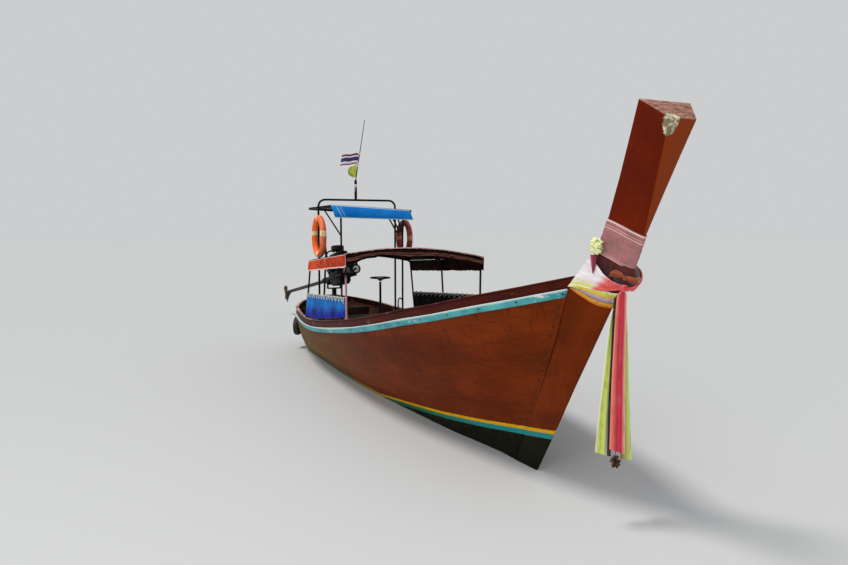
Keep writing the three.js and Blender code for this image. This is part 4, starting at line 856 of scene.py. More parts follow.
# the port valance: the orange cloth, painted dark red as painted shade
SHADED_VALANCE_CLOTH = tarp("shaded_valance_cloth", (62, 8, 8), (26, 3, 5), (84, 26, 26), (90, 44, 40),
                      hem_v=(0, 0.06), threads=(1500, 110))
laid("side_flap_starboard", flap("valance_starboard", -1, 0.006, 0.008), ORANGE_CLOTH,
     grid=(150, 10), thick=0.003,
     stands_for="valance_starboard")
laid("side_flap_port", flap("valance_port", 1, 0.006, 0.010), SHADED_VALANCE_CLOTH,
     grid=(150, 10), thick=0.003,
     stands_for="valance_port")


# Side curtains: blue tarpaulin on both sides, laced with white cord to a rope between the posts. The port
# one is seen from inside and is painted near-black as painted shade. Their foot is a little ragged and
# the lower part is darker.
ROPE_LAY, ROPE_OUT, STITCHES = 0.012, 0.026, 14


def side_cloth(name, light, dark, low_light, low_dark, fold_glint):
    sheet = Finish(name, Specular_IOR_Level=0.06)
    u, v, _ = sheet.uv()
    wide = sheet.noise(3.0, 6, 0.65)
    fold = sheet.noise(5.0, 6, 0.7, sheet.stretched((1.5, 1, 0.8)))
    fine = sheet.noise(150.0, 3, 0.6)
    colour = sheet.mix(sheet.step(wide, 0.35, 0.65), srgb(*light), srgb(*dark))
    low = sheet.mix(sheet.step(wide, 0.40, 0.62), srgb(*low_light), srgb(*low_dark))
    colour = sheet.mix(sheet.step(v + (wide - 0.5) * 0.6, 0.30, 0.85), colour, low)
    # fold crests get a painted highlight and fold troughs painted shade
    colour = sheet.mix(sheet.step(fold, 0.60, 0.74) * 0.3, colour, srgb(*fold_glint))
    colour = sheet.darker(sheet.step(fold, 0.46, 0.32) * 0.25, colour, srgb(110, 110, 130))
    weave = (u * 1500).sine() * (v * 320).sine()
    hem = 1 - sheet.step(v + (sheet.noise(30.0, 4, 0.7) - 0.5) * 0.03, 0.022, 0.030)
    colour = sheet.mix(hem * 0.4, colour, srgb(150, 184, 204))
    relief = fold * 0.7 + fine * 0.15 + weave * 0.12 + hem * 0.4
    return sheet.done(colour, 0.45 + wide * 0.25, relief, 0.004)


BLUE_CLOTH = side_cloth("blue_cloth", (0, 118, 196), (0, 88, 166), (0, 22, 156), (0, 14, 96), (0, 108, 170))
# the port curtain: near-black, painted shade
SHADED_CURTAIN_CLOTH = side_cloth("shaded_curtain_cloth", (18, 16, 20), (8, 7, 10), (10, 8, 10), (5, 4, 5), (34, 32, 38))
laid("side_curtain_blue", flap("side_curtain_starboard", -1, 0.003, 0.006, 0.030), BLUE_CLOTH,
     grid=(160, 26), thick=0.003,
     stands_for="side_curtain_starboard")
laid("side_curtain_shaded", flap("side_board_port", 1, 0.008, 0.006), SHADED_CURTAIN_CLOTH,
     grid=(160, 22), thick=0.003,
     stands_for="side_board_port")


def pipe(points, radius, roundness=3, closed=False):
    """A round line swept along a smooth curve through the points, its ends capped. Each step of
    roundness adds two faces to the four round it."""
    clear()
    bpy.ops.curve.primitive_bezier_curve_add()
    line = bpy.context.object
    line.data.splines[0].bezier_points.add(len(points) - 2)
    for knot, place in zip(line.data.splines[0].bezier_points, points):
        knot.co = place
        knot.handle_left_type = knot.handle_right_type = "AUTO"
    line.data.splines[0].use_cyclic_u = closed
    line.data.resolution_u = 4
    line.data.bevel_depth = radius
    line.data.bevel_resolution = roundness
    line.data.use_fill_caps = not closed
    bpy.ops.object.convert(target="MESH")
    bpy.ops.object.shade_smooth_by_angle(angle=math.radians(50))
    return bpy.context.object


def join(pieces):
    """Joins new pieces into the first one."""
    clear()
    for piece in pieces:
        piece.select_set(True)
    bpy.context.view_layer.objects.active = pieces[0]
    bpy.ops.object.join()
    return bpy.context.object


def rope_fibre():
    """Laid rope: slanting strands, soiled in places."""
    rope = Finish("white_rope")
    lay = (rope.x + rope.y * 0.7 + rope.z * 0.9) / ROPE_LAY
    strand = (lay * 6.2832).sine()
    soil = rope.noise(14.0, 5, 0.7)
    colour = rope.mix(rope.step(soil, 0.42, 0.66), srgb(232, 230, 218), srgb(188, 182, 164))
    colour = rope.darker((strand + 1) * 0.2, colour, srgb(130, 122, 112))
    return rope.done(colour, 0.85, strand * 0.5 + rope.noise(180.0, 3) * 0.4, 0.002)


def lacing(name, side):
    """The rope along a curtain's head and the cord that laces the cloth to it. The starboard curtain
    hangs outside its solid, and the rope with it. The port cord shows on both faces of the cloth."""
    _, high, aft, fore = edges_of(name)
    out = ROPE_OUT if side < 0 else 0.0

    def head(x, off, up, ahead=0.0):
        """A point near the curtain's head at x, so far off the cloth, up and ahead."""
        y, z = high(x)
        return Vector((x + ahead, y + side * (out + off), z + up))

    rope = [head(aft + 0.004 + (fore - aft - 0.008) * k / 24, 0.0, 0.006) for k in range(25)]
    zigzag = []
    for k in range(STITCHES * 2 + 1):
        x = aft + 0.02 + (fore - aft - 0.04) * k / (STITCHES * 2)
        off, up = (0.0145, 0.014) if k % 2 == 0 else (0.011, -0.046)
        zigzag.append(head(x, off, up))
        if side > 0:
            zigzag.append(head(x, -off - 0.002, up, 0.012))
    parts = [pipe(rope, 0.0070 if side < 0 else 0.0085), pipe(zigzag, 0.0052, 2)]
    for x, down in ((aft + 0.03, 0.085), (fore - 0.03, 0.070), (fore - 0.05, 0.045)):
        loose_end = [head(x, 0.012, 0.0), head(x, 0.020, -down * 0.5, 0.006), head(x, 0.018, -down, -0.004)]
        parts.append(pipe(loose_end, 0.0045, 2))
    return join(parts)


WHITE_ROPE = rope_fibre()
settled(lacing("side_curtain_starboard", -1), "lacing_starboard", WHITE_ROPE)
settled(lacing("side_board_port", 1), "lacing_port", WHITE_ROPE)


# Visor: a painted board with a white edge strip, screwed to the front of the helm roof. Two pale
# scratches cross its starboard end.
VISOR_STARBOARD, VISOR_PORT = (2.356, 2.550), (2.325, 2.477)  # its lower and upper edge, as z
VISOR_HALF = 0.665


def visor_paint():
    paint = Finish("visor_paint", Specular_IOR_Level=0.15)
    y, z = paint.y, paint.z
    share = (y + VISOR_HALF) / (2 * VISOR_HALF)
    low = VISOR_STARBOARD[0] + share * (VISOR_PORT[0] - VISOR_STARBOARD[0])
    high = VISOR_STARBOARD[1] + share * (VISOR_PORT[1] - VISOR_STARBOARD[1])
    wide = paint.noise(3.0, 5, 0.6)
    fine = paint.noise(60.0, 5, 0.7)
    colour = paint.mix(paint.step(wide, 0.35, 0.65), srgb(4, 118, 212), srgb(14, 142, 228))
    chalk = paint.step(paint.noise(7.0, 6, 0.7), 0.56, 0.72)
    colour = paint.mix(chalk * 0.35, colour, srgb(100, 180, 230))
    rim = (z - low) & (high - z) & (y + VISOR_HALF) & (VISOR_HALF - y)
    edge = 1 - paint.step(rim + (fine - 0.5) * 0.006, 0.010, 0.013)
    colour = paint.mix(edge * 0.85, colour, srgb(214, 232, 240))
    scratches = 0.0
    for start, wide_by in ((-0.60, 0.006), (-0.545, 0.004)):
        line = y - start - (high - z) * 0.62
        reach = paint.step(z - low, 0.01, 0.03) * paint.step(high - z, 0.02, 0.04)
        scratches = (1 - paint.step(line.absolute(), wide_by * 0.5, wide_by)) * reach | scratches
    colour = paint.mix(scratches * 0.85, colour, srgb(226, 240, 244))
    dirt = paint.step(paint.noise(16.0, 6, 0.75), 0.60, 0.70)
    colour = paint.darker(dirt * 0.5, colour, srgb(120, 116, 110))
    return paint.done(colour, 0.30 + wide * 0.25, fine * 0.3 + edge * 0.5 - scratches * 0.3, 0.0015)


copy_of("visor", visor_paint(), "blue_board", 40, 0.003)


# Life rings: closed foam rings in orange canvas, hung from the helm frame's pipes. Four pale bands
# hold a white grab rope. The port ring has faded to dull pink-brown.
def spun(profile, centre, axis, steps):
    """A closed outline of points turned once round an axis."""
    clear()
    bpy.ops.mesh.primitive_circle_add(vertices=len(profile))
    piece = bpy.context.object
    for corner, place in zip(piece.data.vertices, profile):
        corner.co = place
    bpy.ops.object.mode_set(mode="EDIT")
    bpy.ops.mesh.select_all(action="SELECT")
    bpy.ops.mesh.spin(steps=steps, angle=2 * math.pi, center=centre, axis=axis)
    bpy.ops.mesh.select_all(action="SELECT")
    bpy.ops.mesh.remove_doubles(threshold=0.0002)
    bpy.ops.mesh.normals_make_consistent(inside=False)
    bpy.ops.object.mode_set(mode="OBJECT")
    bpy.ops.object.shade_smooth_by_angle(angle=math.radians(40))
    return piece


def ring_cover(name, centre, light, dark, band, band_dark):
    """Painted canvas with four pale bands. The ring's centre is given as (x, z)."""
    cover = Finish(name)
    cx, cz = centre
    dx, dz = cover.x - cx, cover.z - cz
    turn = dz.math("ARCTAN2", dz, dx) / math.pi
    wide = cover.noise(6.0, 6, 0.65)
    fine = cover.noise(120.0, 4, 0.6)
    colour = cover.mix(cover.step(wide, 0.35, 0.66), srgb(*light), srgb(*dark))
    near = ((turn * 2 + 4.5).fract() - 0.5).absolute()
    wander = (cover.noise(20.0, 4) - 0.5) * 0.03
    bands = 1 - cover.step(near + wander, 0.085, 0.100)
    pale = cover.mix(cover.step(wide, 0.40, 0.60), srgb(*band), srgb(*band_dark))
    colour = cover.mix(bands, colour, pale)
    stitch = 1 - cover.step((near - 0.092).absolute(), 0.004, 0.009)
    colour = cover.darker(stitch * 0.4, colour, srgb(130, 96, 80))
    soil = cover.step(cover.noise(9.0, 6, 0.75), 0.58, 0.72)
    colour = cover.darker(soil * 0.45, colour, srgb(150, 120, 104))
    relief = fine * 0.25 + bands * 0.6 - stitch * 0.4 + wide * 0.3
    return cover.done(colour, 0.55 + wide * 0.2, relief, 0.003)


def life_ring(side, sign, cover):
    """One ring in its cover, bulged between the bands, and the grab rope in four slack loops."""
    (x0, y0, z0), (x1, y1, z1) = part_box(f"life_ring_{side}")
    centre = Vector(((x0 + x1) / 2, (y0 + y1) / 2, (z0 + z1) / 2))
    outer, half = (x1 - x0) / 2, (y1 - y0) / 2
    inner = outer - 2 * half
    middle = (outer + inner) / 2
    profile = []
    for k in range(28):
        turn = 2 * math.pi * k / 28
        profile.append(centre + Vector((middle + half * 0.995 * math.cos(turn),
                                        half * 0.96 * math.sin(turn), 0)))
    ring = spun(profile, centre, (0, 1, 0), 72)
    for corner in ring.data.vertices:
        away = corner.co - centre
        turn = math.atan2(away.z, away.x)
        swell = 0.0025 * math.cos(turn * 4) + 0.0025 * ripple(corner.co.x, corner.co.y, corner.co.z, 0.12)
        flat = Vector((away.x, 0, away.z)).normalized()
        corner.co -= flat * 0.004 + flat * swell
    settled(ring, f"ring_{side}", cover, f"life_ring_{side}")
    loops = []
    for quarter in range(4):
        line = []
        for k in range(9):
            turn = math.pi / 4 + (quarter + k / 8) * math.pi / 2
            slack = math.sin(math.pi * k / 8)
            out = outer - (0.003 if k in (0, 8) else 0.004 + 0.012 * slack ** 2)
            line.append(centre + Vector((out * math.cos(turn), sign * (half * 0.35 + 0.012 * slack),
                                         out * math.sin(turn))))
        loops.append(pipe(line, 0.0045, 2))
    settled(join(loops), f"ring_rope_{side}", WHITE_ROPE)


FADED_COVER = ring_cover("ring_cover_faded", (-1.540, 2.036), (150, 66, 52), (112, 48, 42),
                         (184, 128, 104), (150, 100, 86))
ORANGE_COVER = ring_cover("ring_cover_orange", (-1.508, 2.118), (255, 128, 66), (240, 92, 36),
                          (252, 230, 112), (246, 206, 170))
life_ring("port", 1, FADED_COVER)
life_ring("starboard", -1, ORANGE_COVER)


# Steering wheel: a moulded black rim with finger grips, three round spokes and a hub. It turns on the
# head of the steering column.
WHEEL = Vector((-1.250, 0.200, 1.405))
RIM_RADIUS, RIM_HALF, GRIPS, GRIP_DEEP = 0.154, 0.0125, 30, 0.0016


def bar(start, end, radius, sides, ease=0.0):
    """A round bar between two points, its ends eased by so much."""
    start, end = Vector(start), Vector(end)
    clear()
    bpy.ops.mesh.primitive_cylinder_add(vertices=sides, radius=radius, depth=(end - start).length)
    piece = bpy.context.object
    if ease:
        eased = piece.modifiers.new("ease", "BEVEL")
        eased.width, eased.segments, eased.limit_method = ease, 2, "ANGLE"
        bpy.ops.object.modifier_apply(modifier=eased.name)
    bpy.ops.object.shade_smooth_by_angle(angle=math.radians(35))
    turn = (end - start).to_track_quat("Z", "Y").to_matrix().to_4x4()
    piece.matrix_world = Matrix.Translation((start + end) / 2) @ turn
    bpy.context.view_layer.update()
    bpy.ops.object.transform_apply(location=True, rotation=True, scale=True)
    return piece


profile = [WHEEL + Vector((RIM_RADIUS + RIM_HALF * math.cos(a), 0, RIM_HALF * 0.9 * math.sin(a)))
           for a in (2 * math.pi * k / 16 for k in range(16))]
rim = spun(profile, WHEEL, (0, 0, 1), 120)
for corner in rim.data.vertices:
    away = corner.co - WHEEL
    turn = math.atan2(away.y, away.x)
    grip = GRIP_DEEP * (math.cos(turn * GRIPS) - 1) / 2
    outward = Vector((away.x, away.y, 0)).normalized()
    ring_point = WHEEL + outward * RIM_RADIUS
    corner.co = ring_point + (corner.co - ring_point) * (1 + grip / RIM_HALF)
WHEEL_BLACK = steel("wheel_black", (30, 30, 32), 0.15, 0.4, 0.0)
parts = [rim]
for k in range(3):
    turn = math.radians(90 + 120 * k)
    out = Vector((math.cos(turn), math.sin(turn), 0))
    at_hub, at_rim = WHEEL + out * 0.020 + Vector((0, 0, -0.030)), WHEEL + out * (RIM_RADIUS - 0.006)
    parts.append(bar(at_hub, at_rim, 0.0085, 12))
HUB = ((0.0005, -0.050), (0.022, -0.050), (0.030, -0.044), (0.031, -0.030), (0.026, -0.020),
       (0.014, -0.017), (0.013, -0.006), (0.0005, -0.004))  # its outline, as (radius, up)
hub = [WHEEL + Vector((radius, 0, up)) for radius, up in HUB]
parts.append(spun(hub, WHEEL, (0, 0, 1), 32))
settled(join(parts), "wheel", WHEEL_BLACK, "steering_wheel", "helm")


# Ring bracket: two parallel steel struts from the helm roof's port rail, past the hoop's leg. A short
# bar joins their ends, and a hook welded to it carries the faded ring.
(x0, y0, z0), (x1, y1, z1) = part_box("life_ring_port")
RING_INSIDE_TOP = Vector(((x0 + x1) / 2, (y0 + y1) / 2, z1 - (y1 - y0) - 0.006))
hook = [(-1.512, 0.604, 2.130), (-1.520, 0.640, 2.140), RING_INSIDE_TOP + Vector((0, -0.030, -0.018)),
        RING_INSIDE_TOP, RING_INSIDE_TOP + Vector((0, 0.030, 0.002))]
parts = [bar((-2.050, 0.590, 2.452), (-1.552, 0.600, 2.123), 0.0125, 14, 0.003),
         bar((-1.835, 0.590, 2.448), (-1.450, 0.600, 2.151), 0.0125, 14, 0.003),
         pipe([(-1.560, 0.600, 2.130), (-1.520, 0.604, 2.128), (-1.480, 0.604, 2.138),
               (-1.440, 0.600, 2.146)], 0.0110),
         pipe(hook, 0.0090)]
settled(join(parts), "ring_bracket", TUBE_PAINT)


# Grab handle: a bent steel bar with two round feet, brushed with the same dark paint. Its feet are
# screwed to the port cap rail beside the helm.
CAP = solid_of("cap_rail_port")
HANDLE_AFT, HANDLE_LONG = -2.250, 0.180
feet = []
for x in (HANDLE_AFT, HANDLE_AFT + HANDLE_LONG):
    across = (Vector((x, 0.70 + 0.004 * k, 1.4)) for k in range(80))
    found = [point for point in (CAP.ray_cast(place, DOWN)[0] for place in across) if point]
    feet.append(sum(found, Vector()) / len(found))
HANDLE = ((0.0, -0.006), (0.0, 0.110), (0.030, 0.158), (0.090, 0.172), (0.150, 0.158),
          (HANDLE_LONG, 0.110), (HANDLE_LONG, -0.006))  # its line, as (ahead, up)
line = [feet[0].lerp(feet[1], ahead / HANDLE_LONG) + Vector((0, 0, up)) for ahead, up in HANDLE]
parts = [pipe(line, 0.0115)]
for foot in feet:
    parts.append(bar(foot - Vector((0, 0, 0.002)), foot + Vector((0, 0, 0.006)), 0.024, 20, 0.002))
settled(join(parts), "grab_handle", TUBE_PAINT)


# Engine fittings: an injection pump with its pipes, filters, starter, belt and hoses, bolted round the
# block and all but black with oil. The belt also turns a jockey pulley with a pale face.
TILT_PIN, ENGINE_SLOPE = (-3.350, 0, 1.160), math.radians(-8.4)
AT_ENGINE = Matrix.Translation(TILT_PIN) @ Matrix.Rotation(ENGINE_SLOPE, 4, "Y")


def on_engine(*points):
    """Points given from the tilt pin, forward along the engine and up from it."""
    return [AT_ENGINE @ Vector(point) for point in points]


def turned_on_engine(profile, centre):
    """A round part whose axis runs along the engine. The profile is (radius, forward)."""
    at = Vector(centre)
    line = on_engine(*((at.x + ahead, at.y, at.z + radius) for radius, ahead in profile))
    return spun(line, AT_ENGINE @ at, AT_ENGINE.to_3x3() @ Vector((1, 0, 0)), 36)


def hose_rubber():
    hose = Finish("hose_rubber", Specular_IOR_Level=0.15)
    worn = hose.noise(12.0, 6, 0.7)
    ribs = (hose.x * 900).sine()
    colour = hose.mix(hose.step(worn, 0.40, 0.62), srgb(13, 13, 14), srgb(30, 29, 28))
    return hose.done(colour, 0.6 + worn * 0.2, worn * 0.5 + ribs * 0.15, 0.0012)


# the pump and its foot, the filter and its head, the starter and its switch, and the jockey's arm
parts = [bar(*on_engine((0.290, -0.172, 0.215), (0.560, -0.172, 0.215)), 0.038, 24, 0.006),
         bar(*on_engine((0.330, -0.172, 0.150), (0.330, -0.172, 0.215)), 0.024, 16, 0.004),
         bar(*on_engine((0.620, -0.176, 0.240), (0.620, -0.176, 0.352)), 0.040, 24, 0.008),
         bar(*on_engine((0.620, -0.176, 0.352), (0.620, -0.176, 0.378)), 0.050, 24, 0.006),
         bar(*on_engine((0.160, 0.182, 0.060), (0.360, 0.182, 0.060)), 0.044, 24, 0.006),
         bar(*on_engine((0.190, 0.182, 0.128), (0.330, 0.182, 0.128)), 0.024, 18, 0.005),
         bar(*on_engine((0.700, 0.110, 0.205), (0.792, 0.198, 0.198)), 0.018, 14, 0.003)]
# the pump's four unions and pipes, bolts along both sides, nuts on the cover and inlet flanges
for k in range(4):
    x, port_x = 0.330 + 0.062 * k, 0.250 + 0.115 * k
    parts.append(bar(*on_engine((x, -0.172, 0.250), (x, -0.172, 0.300)), 0.011, 10, 0.002))
    parts.append(pipe(on_engine((x, -0.172, 0.296), (x + 0.004, -0.176, 0.345), (x + 0.03, -0.160, 0.400),
                                (port_x, -0.128, 0.440), (port_x, -0.108, 0.452)), 0.0042, 2))
for k in range(9):
    x = 0.170 + 0.072 * k
    for side in (-1, 1):
        parts.append(bar(*on_engine((x, side * 0.098, 0.472), (x, side * 0.098, 0.486)), 0.0095, 6, 0.0015))
        parts.append(bar(*on_engine((x, side * 0.130, 0.120), (x, side * 0.143, 0.120)), 0.0095, 6, 0.0015))
for x in (0.27, 0.44, 0.61):
    parts.append(bar(*on_engine((x, 0, 0.535), (x, 0, 0.556)), 0.013, 12, 0.003))
for x in (0.700, 0.540, 0.380, 0.240):
    parts.append(bar(*on_engine((x, -0.112, 0.425), (x, -0.150, 0.425)), 0.030, 18, 0.004))
settled(join(parts), "engine_fittings", OILY_IRON, body="engine")

HOSE_RUBBER = hose_rubber()
BELT_RADIUS = 0.090
belt = []
for k in range(13):
    turn = math.radians(-150 + 20.5 * k) - 1.0
    belt.append((0.800, -BELT_RADIUS * math.cos(turn), 0.148 + BELT_RADIUS * math.sin(turn)))
belt += [(0.796, 0.150, 0.285), (0.792, 0.205, 0.304), (0.792, 0.232, 0.262), (0.796, 0.180, 0.180)]
HOSES = (  # radius, then its points
    (0.017, (0.760, -0.070, 0.330), (0.815, -0.075, 0.325), (0.835, -0.080, 0.270), (0.815, -0.110, 0.210),
     (0.740, -0.150, 0.190)),
    (0.019, (0.756, 0.050, 0.440), (0.800, 0.055, 0.445), (0.812, 0.062, 0.400), (0.772, 0.066, 0.350)),
    (0.015, (0.360, -0.060, 0.560), (0.300, -0.150, 0.570), (0.260, -0.205, 0.480), (0.300, -0.215, 0.320),
     (0.330, -0.190, 0.240)),
    (0.009, (0.560, 0.100, 0.470), (0.600, 0.175, 0.460), (0.560, 0.205, 0.380), (0.480, 0.190, 0.240),
     (0.360, 0.186, 0.130)),
    (0.008, (0.640, -0.176, 0.378), (0.690, -0.190, 0.430), (0.620, -0.200, 0.470), (0.480, -0.190, 0.430),
     (0.420, -0.180, 0.300)),
)
WIRES = (
    ((1.150, 0.022, 0.138), (0.980, 0.030, 0.160), (0.900, 0.060, 0.240), (0.860, 0.020, 0.380),
     (0.700, -0.100, 0.500), (0.560, -0.178, 0.330)),
    ((1.240, -0.018, 0.142), (1.000, -0.060, 0.110), (0.880, -0.120, 0.150), (0.780, -0.170, 0.230)),
)
parts = [pipe(on_engine(*belt), 0.0065, 2, True)]
parts += [pipe(on_engine(*points), radius) for radius, *points in HOSES]
parts += [pipe(on_engine(*points), 0.0055, 2) for points in WIRES]
settled(join(parts), "engine_hoses", HOSE_RUBBER, body="engine")


def jockey_paint():
    face = Finish("jockey_paint", Specular_IOR_Level=0.15)
    centre = AT_ENGINE @ Vector((0.810, 0.200, 0.196))  # the middle of its face
    dy, dz = face.y - centre.y, face.z - centre.z
    away = (dy * dy + dz * dz) ** 0.5
    oil = face.step(face.noise(16.0, 6, 0.7), 0.50, 0.68)
    colour = face.mix(face.step(away, 0.054, 0.057), srgb(232, 230, 224), srgb(16, 16, 16))
    colour = face.mix(1 - face.step(away, 0.012, 0.015), colour, srgb(60, 56, 52))
    return face.done(face.darker(oil * 0.35, colour, srgb(120, 108, 92)), 0.5 + oil * 0.2, oil, 0.001)


JOCKEY = ((0.0004, 0.022), (0.014, 0.022), (0.016, 0.016), (0.056, 0.016), (0.060, 0.020), (0.084, 0.020),
          (0.084, 0.012), (0.074, 0.006), (0.084, 0.000), (0.084, -0.008), (0.050, -0.010),
          (0.0004, -0.010))  # its outline, as (radius, forward)
disc = turned_on_engine(JOCKEY, (0.796, 0.200, 0.196))
settled(disc, "engine_jockey", jockey_paint(), body="engine")


# Tyre: an old car tyre of ribbed rubber, hung outside the hull as a fender. Its beads and inner wall
# show, and it is scuffed grey. The outlines are halves, as (radius, across), that end at the middle.
TYRE_OUTER = ((0.100, 0.030), (0.103, 0.036), (0.112, 0.042), (0.130, 0.045), (0.150, 0.044),
              (0.163, 0.039), (0.170, 0.031), (0.1735, 0.020), (0.1745, 0.0))
TYRE_INNER = ((0.106, -0.029), (0.114, -0.035), (0.132, -0.038), (0.150, -0.037), (0.161, -0.028),
              (0.164, 0.0))
TREAD_FROM, GROOVES, BLOCKS = 0.1655, (-0.022, -0.008, 0.008, 0.022), 48
TYRE_TURN = math.radians(30)


def tyre_rubber():
    tyre = Finish("tyre_rubber")
    wide = tyre.noise(7.0, 6, 0.7)
    fine = tyre.noise(90.0, 4, 0.7)
    colour = tyre.mix(tyre.step(wide, 0.36, 0.66), srgb(34, 34, 36), srgb(64, 62, 60))
    colour = tyre.mix(tyre.step(tyre.noise(18.0, 6, 0.75), 0.60, 0.70) * 0.5, colour, srgb(110, 106, 98))
    return tyre.done(colour, 0.75, wide * 0.3 + fine * 0.4, 0.002)


low_corner, high_corner = (Vector(corner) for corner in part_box("tyre_fender"))
tyre_profile = []
for half in (TYRE_OUTER, TYRE_INNER):
    tyre_profile += [(0, across, radius) for radius, across in half]
    tyre_profile += [(0, -across, radius) for radius, across in reversed(half[:-1])]
tyre = spun(tyre_profile, (0, 0, 0), (0, 1, 0), 96)
for corner in tyre.data.vertices:
    x, y, z = corner.co
    radius = math.hypot(x, z)
    if radius > TREAD_FROM:
        turn = math.atan2(z, x)
        groove = min(abs(y - place) for place in GROOVES)
        block = math.sin(turn * BLOCKS + (1 if y > 0 else -1) * 1.1)
        cut = (0.0035 if groove < 0.0025 else 0) + (0.0025 if block < -0.35 and abs(y) > 0.024 else 0)
        corner.co.x *= (radius - cut) / radius
        corner.co.z *= (radius - cut) / radius
tyre.matrix_world = Matrix.Translation((low_corner + high_corner) / 2) @ Matrix.Rotation(-TYRE_TURN, 4, "Z")
bpy.context.view_layer.update()
bpy.ops.object.transform_apply(location=True, rotation=True, scale=True)
settled(tyre, "fender_tyre", tyre_rubber(), "tyre_fender")


# Flag and pennant: a striped flag and a small yellow-green pennant, tied with ribbon to the mast's rod
# and pipe. Both are thin, sun-bleached cloth that curls from its hoist.
def banded_cloth(name, stops, down=True, shade=0.35, wear=0.25, fold=12.0):
    """Thin dyed cloth: colour bands that follow each other down the sheet or along it, folds as dark
    as shade, and patches as faded as wear."""
    sheet = Finish(name, Sheen_Weight=0.3)
    u, v, _ = sheet.uv()
    at = v if down else u
    wander = (sheet.noise(9.0, 4, 0.6) - 0.5) * 0.06
    bands = [(place, srgb(*band)) for place, band in stops]
    colour = put(sheet.tree, "ShaderNodeValToRGB", {"Fac": at + wander}, "Color", bands)
    patches = sheet.noise(5.0, 5, 0.65)
    colour = sheet.mix(sheet.step(patches, 0.55, 0.75) * wear, colour, srgb(252, 236, 232))
    lines = sheet.noise(fold, 5, 0.7, sheet.stretched((1, 1, 0.25)))
    colour = sheet.darker(sheet.step(lines, 0.50, 0.36) * shade, colour, srgb(170, 120, 120))
    weave = (u * 900).sine() * (v * 900).sine()
    return sheet.done(colour, 0.7, lines * 0.7 + weave * 0.08 + sheet.noise(120.0, 3) * 0.15, 0.003)


MAST_X, MAST_Y = -1.800, -0.030
ROD_FOOT, ROD_TOP, ROD_LEAN = 2.985, 3.980, 0.165
ROD_RADIUS, PIPE_RADIUS = 0.0125, 0.0235
FLAG_TOP, FLAG_HOIST, FLAG_FLY = 3.425, 0.175, 0.275
PENNANT_TOP, PENNANT_LONG, PENNANT_WIDE = 3.242, 0.205, 0.150


def mast_y(z):
    """Where the mast stands at this height: the pipe is upright and the rod leans to port."""
    return MAST_Y + ROD_LEAN * max(0.0, z - ROD_FOOT) / (ROD_TOP - ROD_FOOT)


def flag_place(u, v):
    away = 0.008 + FLAG_FLY * u
    z = FLAG_TOP - FLAG_HOIST * v - 0.035 * u * u + 0.006 * math.sin(u * 9)
    y = mast_y(z) - away * 0.955
    return Vector((MAST_X - 0.004 - 0.080 * u + 0.018 * math.sin(u * 10 + v * 1.2) * u, y, z))


FLAG_CLOTH = banded_cloth("flag_cloth", [
    (0.0, (120, 30, 52)), (0.16, (120, 30, 52)), (0.20, (226, 216, 226)), (0.30, (226, 216, 226)),
    (0.34, (46, 48, 108)), (0.66, (46, 48, 108)), (0.70, (236, 230, 236)), (0.84, (236, 230, 236)),
    (0.88, (150, 44, 66))])
laid("mast_flag", flag_place, FLAG_CLOTH, grid=(36, 20), thick=0.0015,
     stands_for="flag")


def pennant_place(u, v):
    width = PENNANT_WIDE * math.sin(math.pi * min(1.0, 0.12 + 0.80 * u)) ** 0.6
    z = PENNANT_TOP - PENNANT_LONG * u + 0.010 * math.sin(u * 6) * (v - 0.5) - 0.03 * v * (1 - u)
    y = mast_y(3.15) - 0.008 - width * v
    return Vector((MAST_X - 0.010 * v + 0.016 * math.sin(u * 7 + v * 5) * v, y, z))


PENNANT_CLOTH = banded_cloth("pennant_cloth", [
    (0.0, (176, 190, 50)), (0.5, (206, 214, 84)), (1.0, (150, 176, 50))])
laid("mast_pennant", pennant_place, PENNANT_CLOTH, grid=(30, 8), thick=0.0015)
RIBBON_WHITE = banded_cloth("ribbon_white", [(0.0, (236, 232, 226)), (1.0, (216, 206, 198))])
RIBBON_TURN = ((-0.003, -0.011), (0.001, -0.010), (0.0035, -0.005), (0.0035, 0.005), (0.001, 0.010),
               (-0.003, 0.011))  # its outline, as (out, up)
ties = []
for z in (3.415, 3.262, 3.215, 2.905, 2.878):
    radius = ROD_RADIUS if z > ROD_FOOT else PIPE_RADIUS
    outline = [(MAST_X + radius + out, mast_y(z), z + up) for out, up in RIBBON_TURN]
    ties.append(spun(outline, (MAST_X, mast_y(z), z), (0, 0, 1), 24))
loose_end = [(MAST_X + 0.024, MAST_Y, 2.900), (MAST_X + 0.036, MAST_Y - 0.012, 2.890),
             (MAST_X + 0.034, MAST_Y - 0.020, 2.850), (MAST_X + 0.030, MAST_Y - 0.024, 2.800)]
ties.append(pipe(loose_end, 0.004, 2))
settled(join(ties), "mast_ties", RIBBON_WHITE)


# Bow wrap: a strip of mauve-pink cloth with stitched edges, bound round the stem for luck. It is sewn
# to itself behind the stem.
STEM = solid_of("stem_post")
FORWARD, UPWARD = Vector((0.8866, 0, -0.4626)), Vector((0.4626, 0, 0.8866))
WRAP_FOOT = Vector((4.805, 0, 1.980))
WRAP_LOW, WRAP_HIGH, WRAP_TILT = -0.024, 0.252, -0.006
WRAP_LIFT, WRAP_FOLDS = 0.0040, 0.0045


def round_stem(height, turn, lift):
    """The point this far up the stem from the wrap's foot, at this turn round it (0 in front, a
    quarter to port) and lifted off it."""
    centre = WRAP_FOOT + UPWARD * height
    out = FORWARD * math.cos(turn) + Vector((0, 1, 0)) * math.sin(turn)
    hit = STEM.ray_cast(centre + out * 0.9, -out, 0.9)[0]
    return (hit or centre + out * 0.12) + out * lift


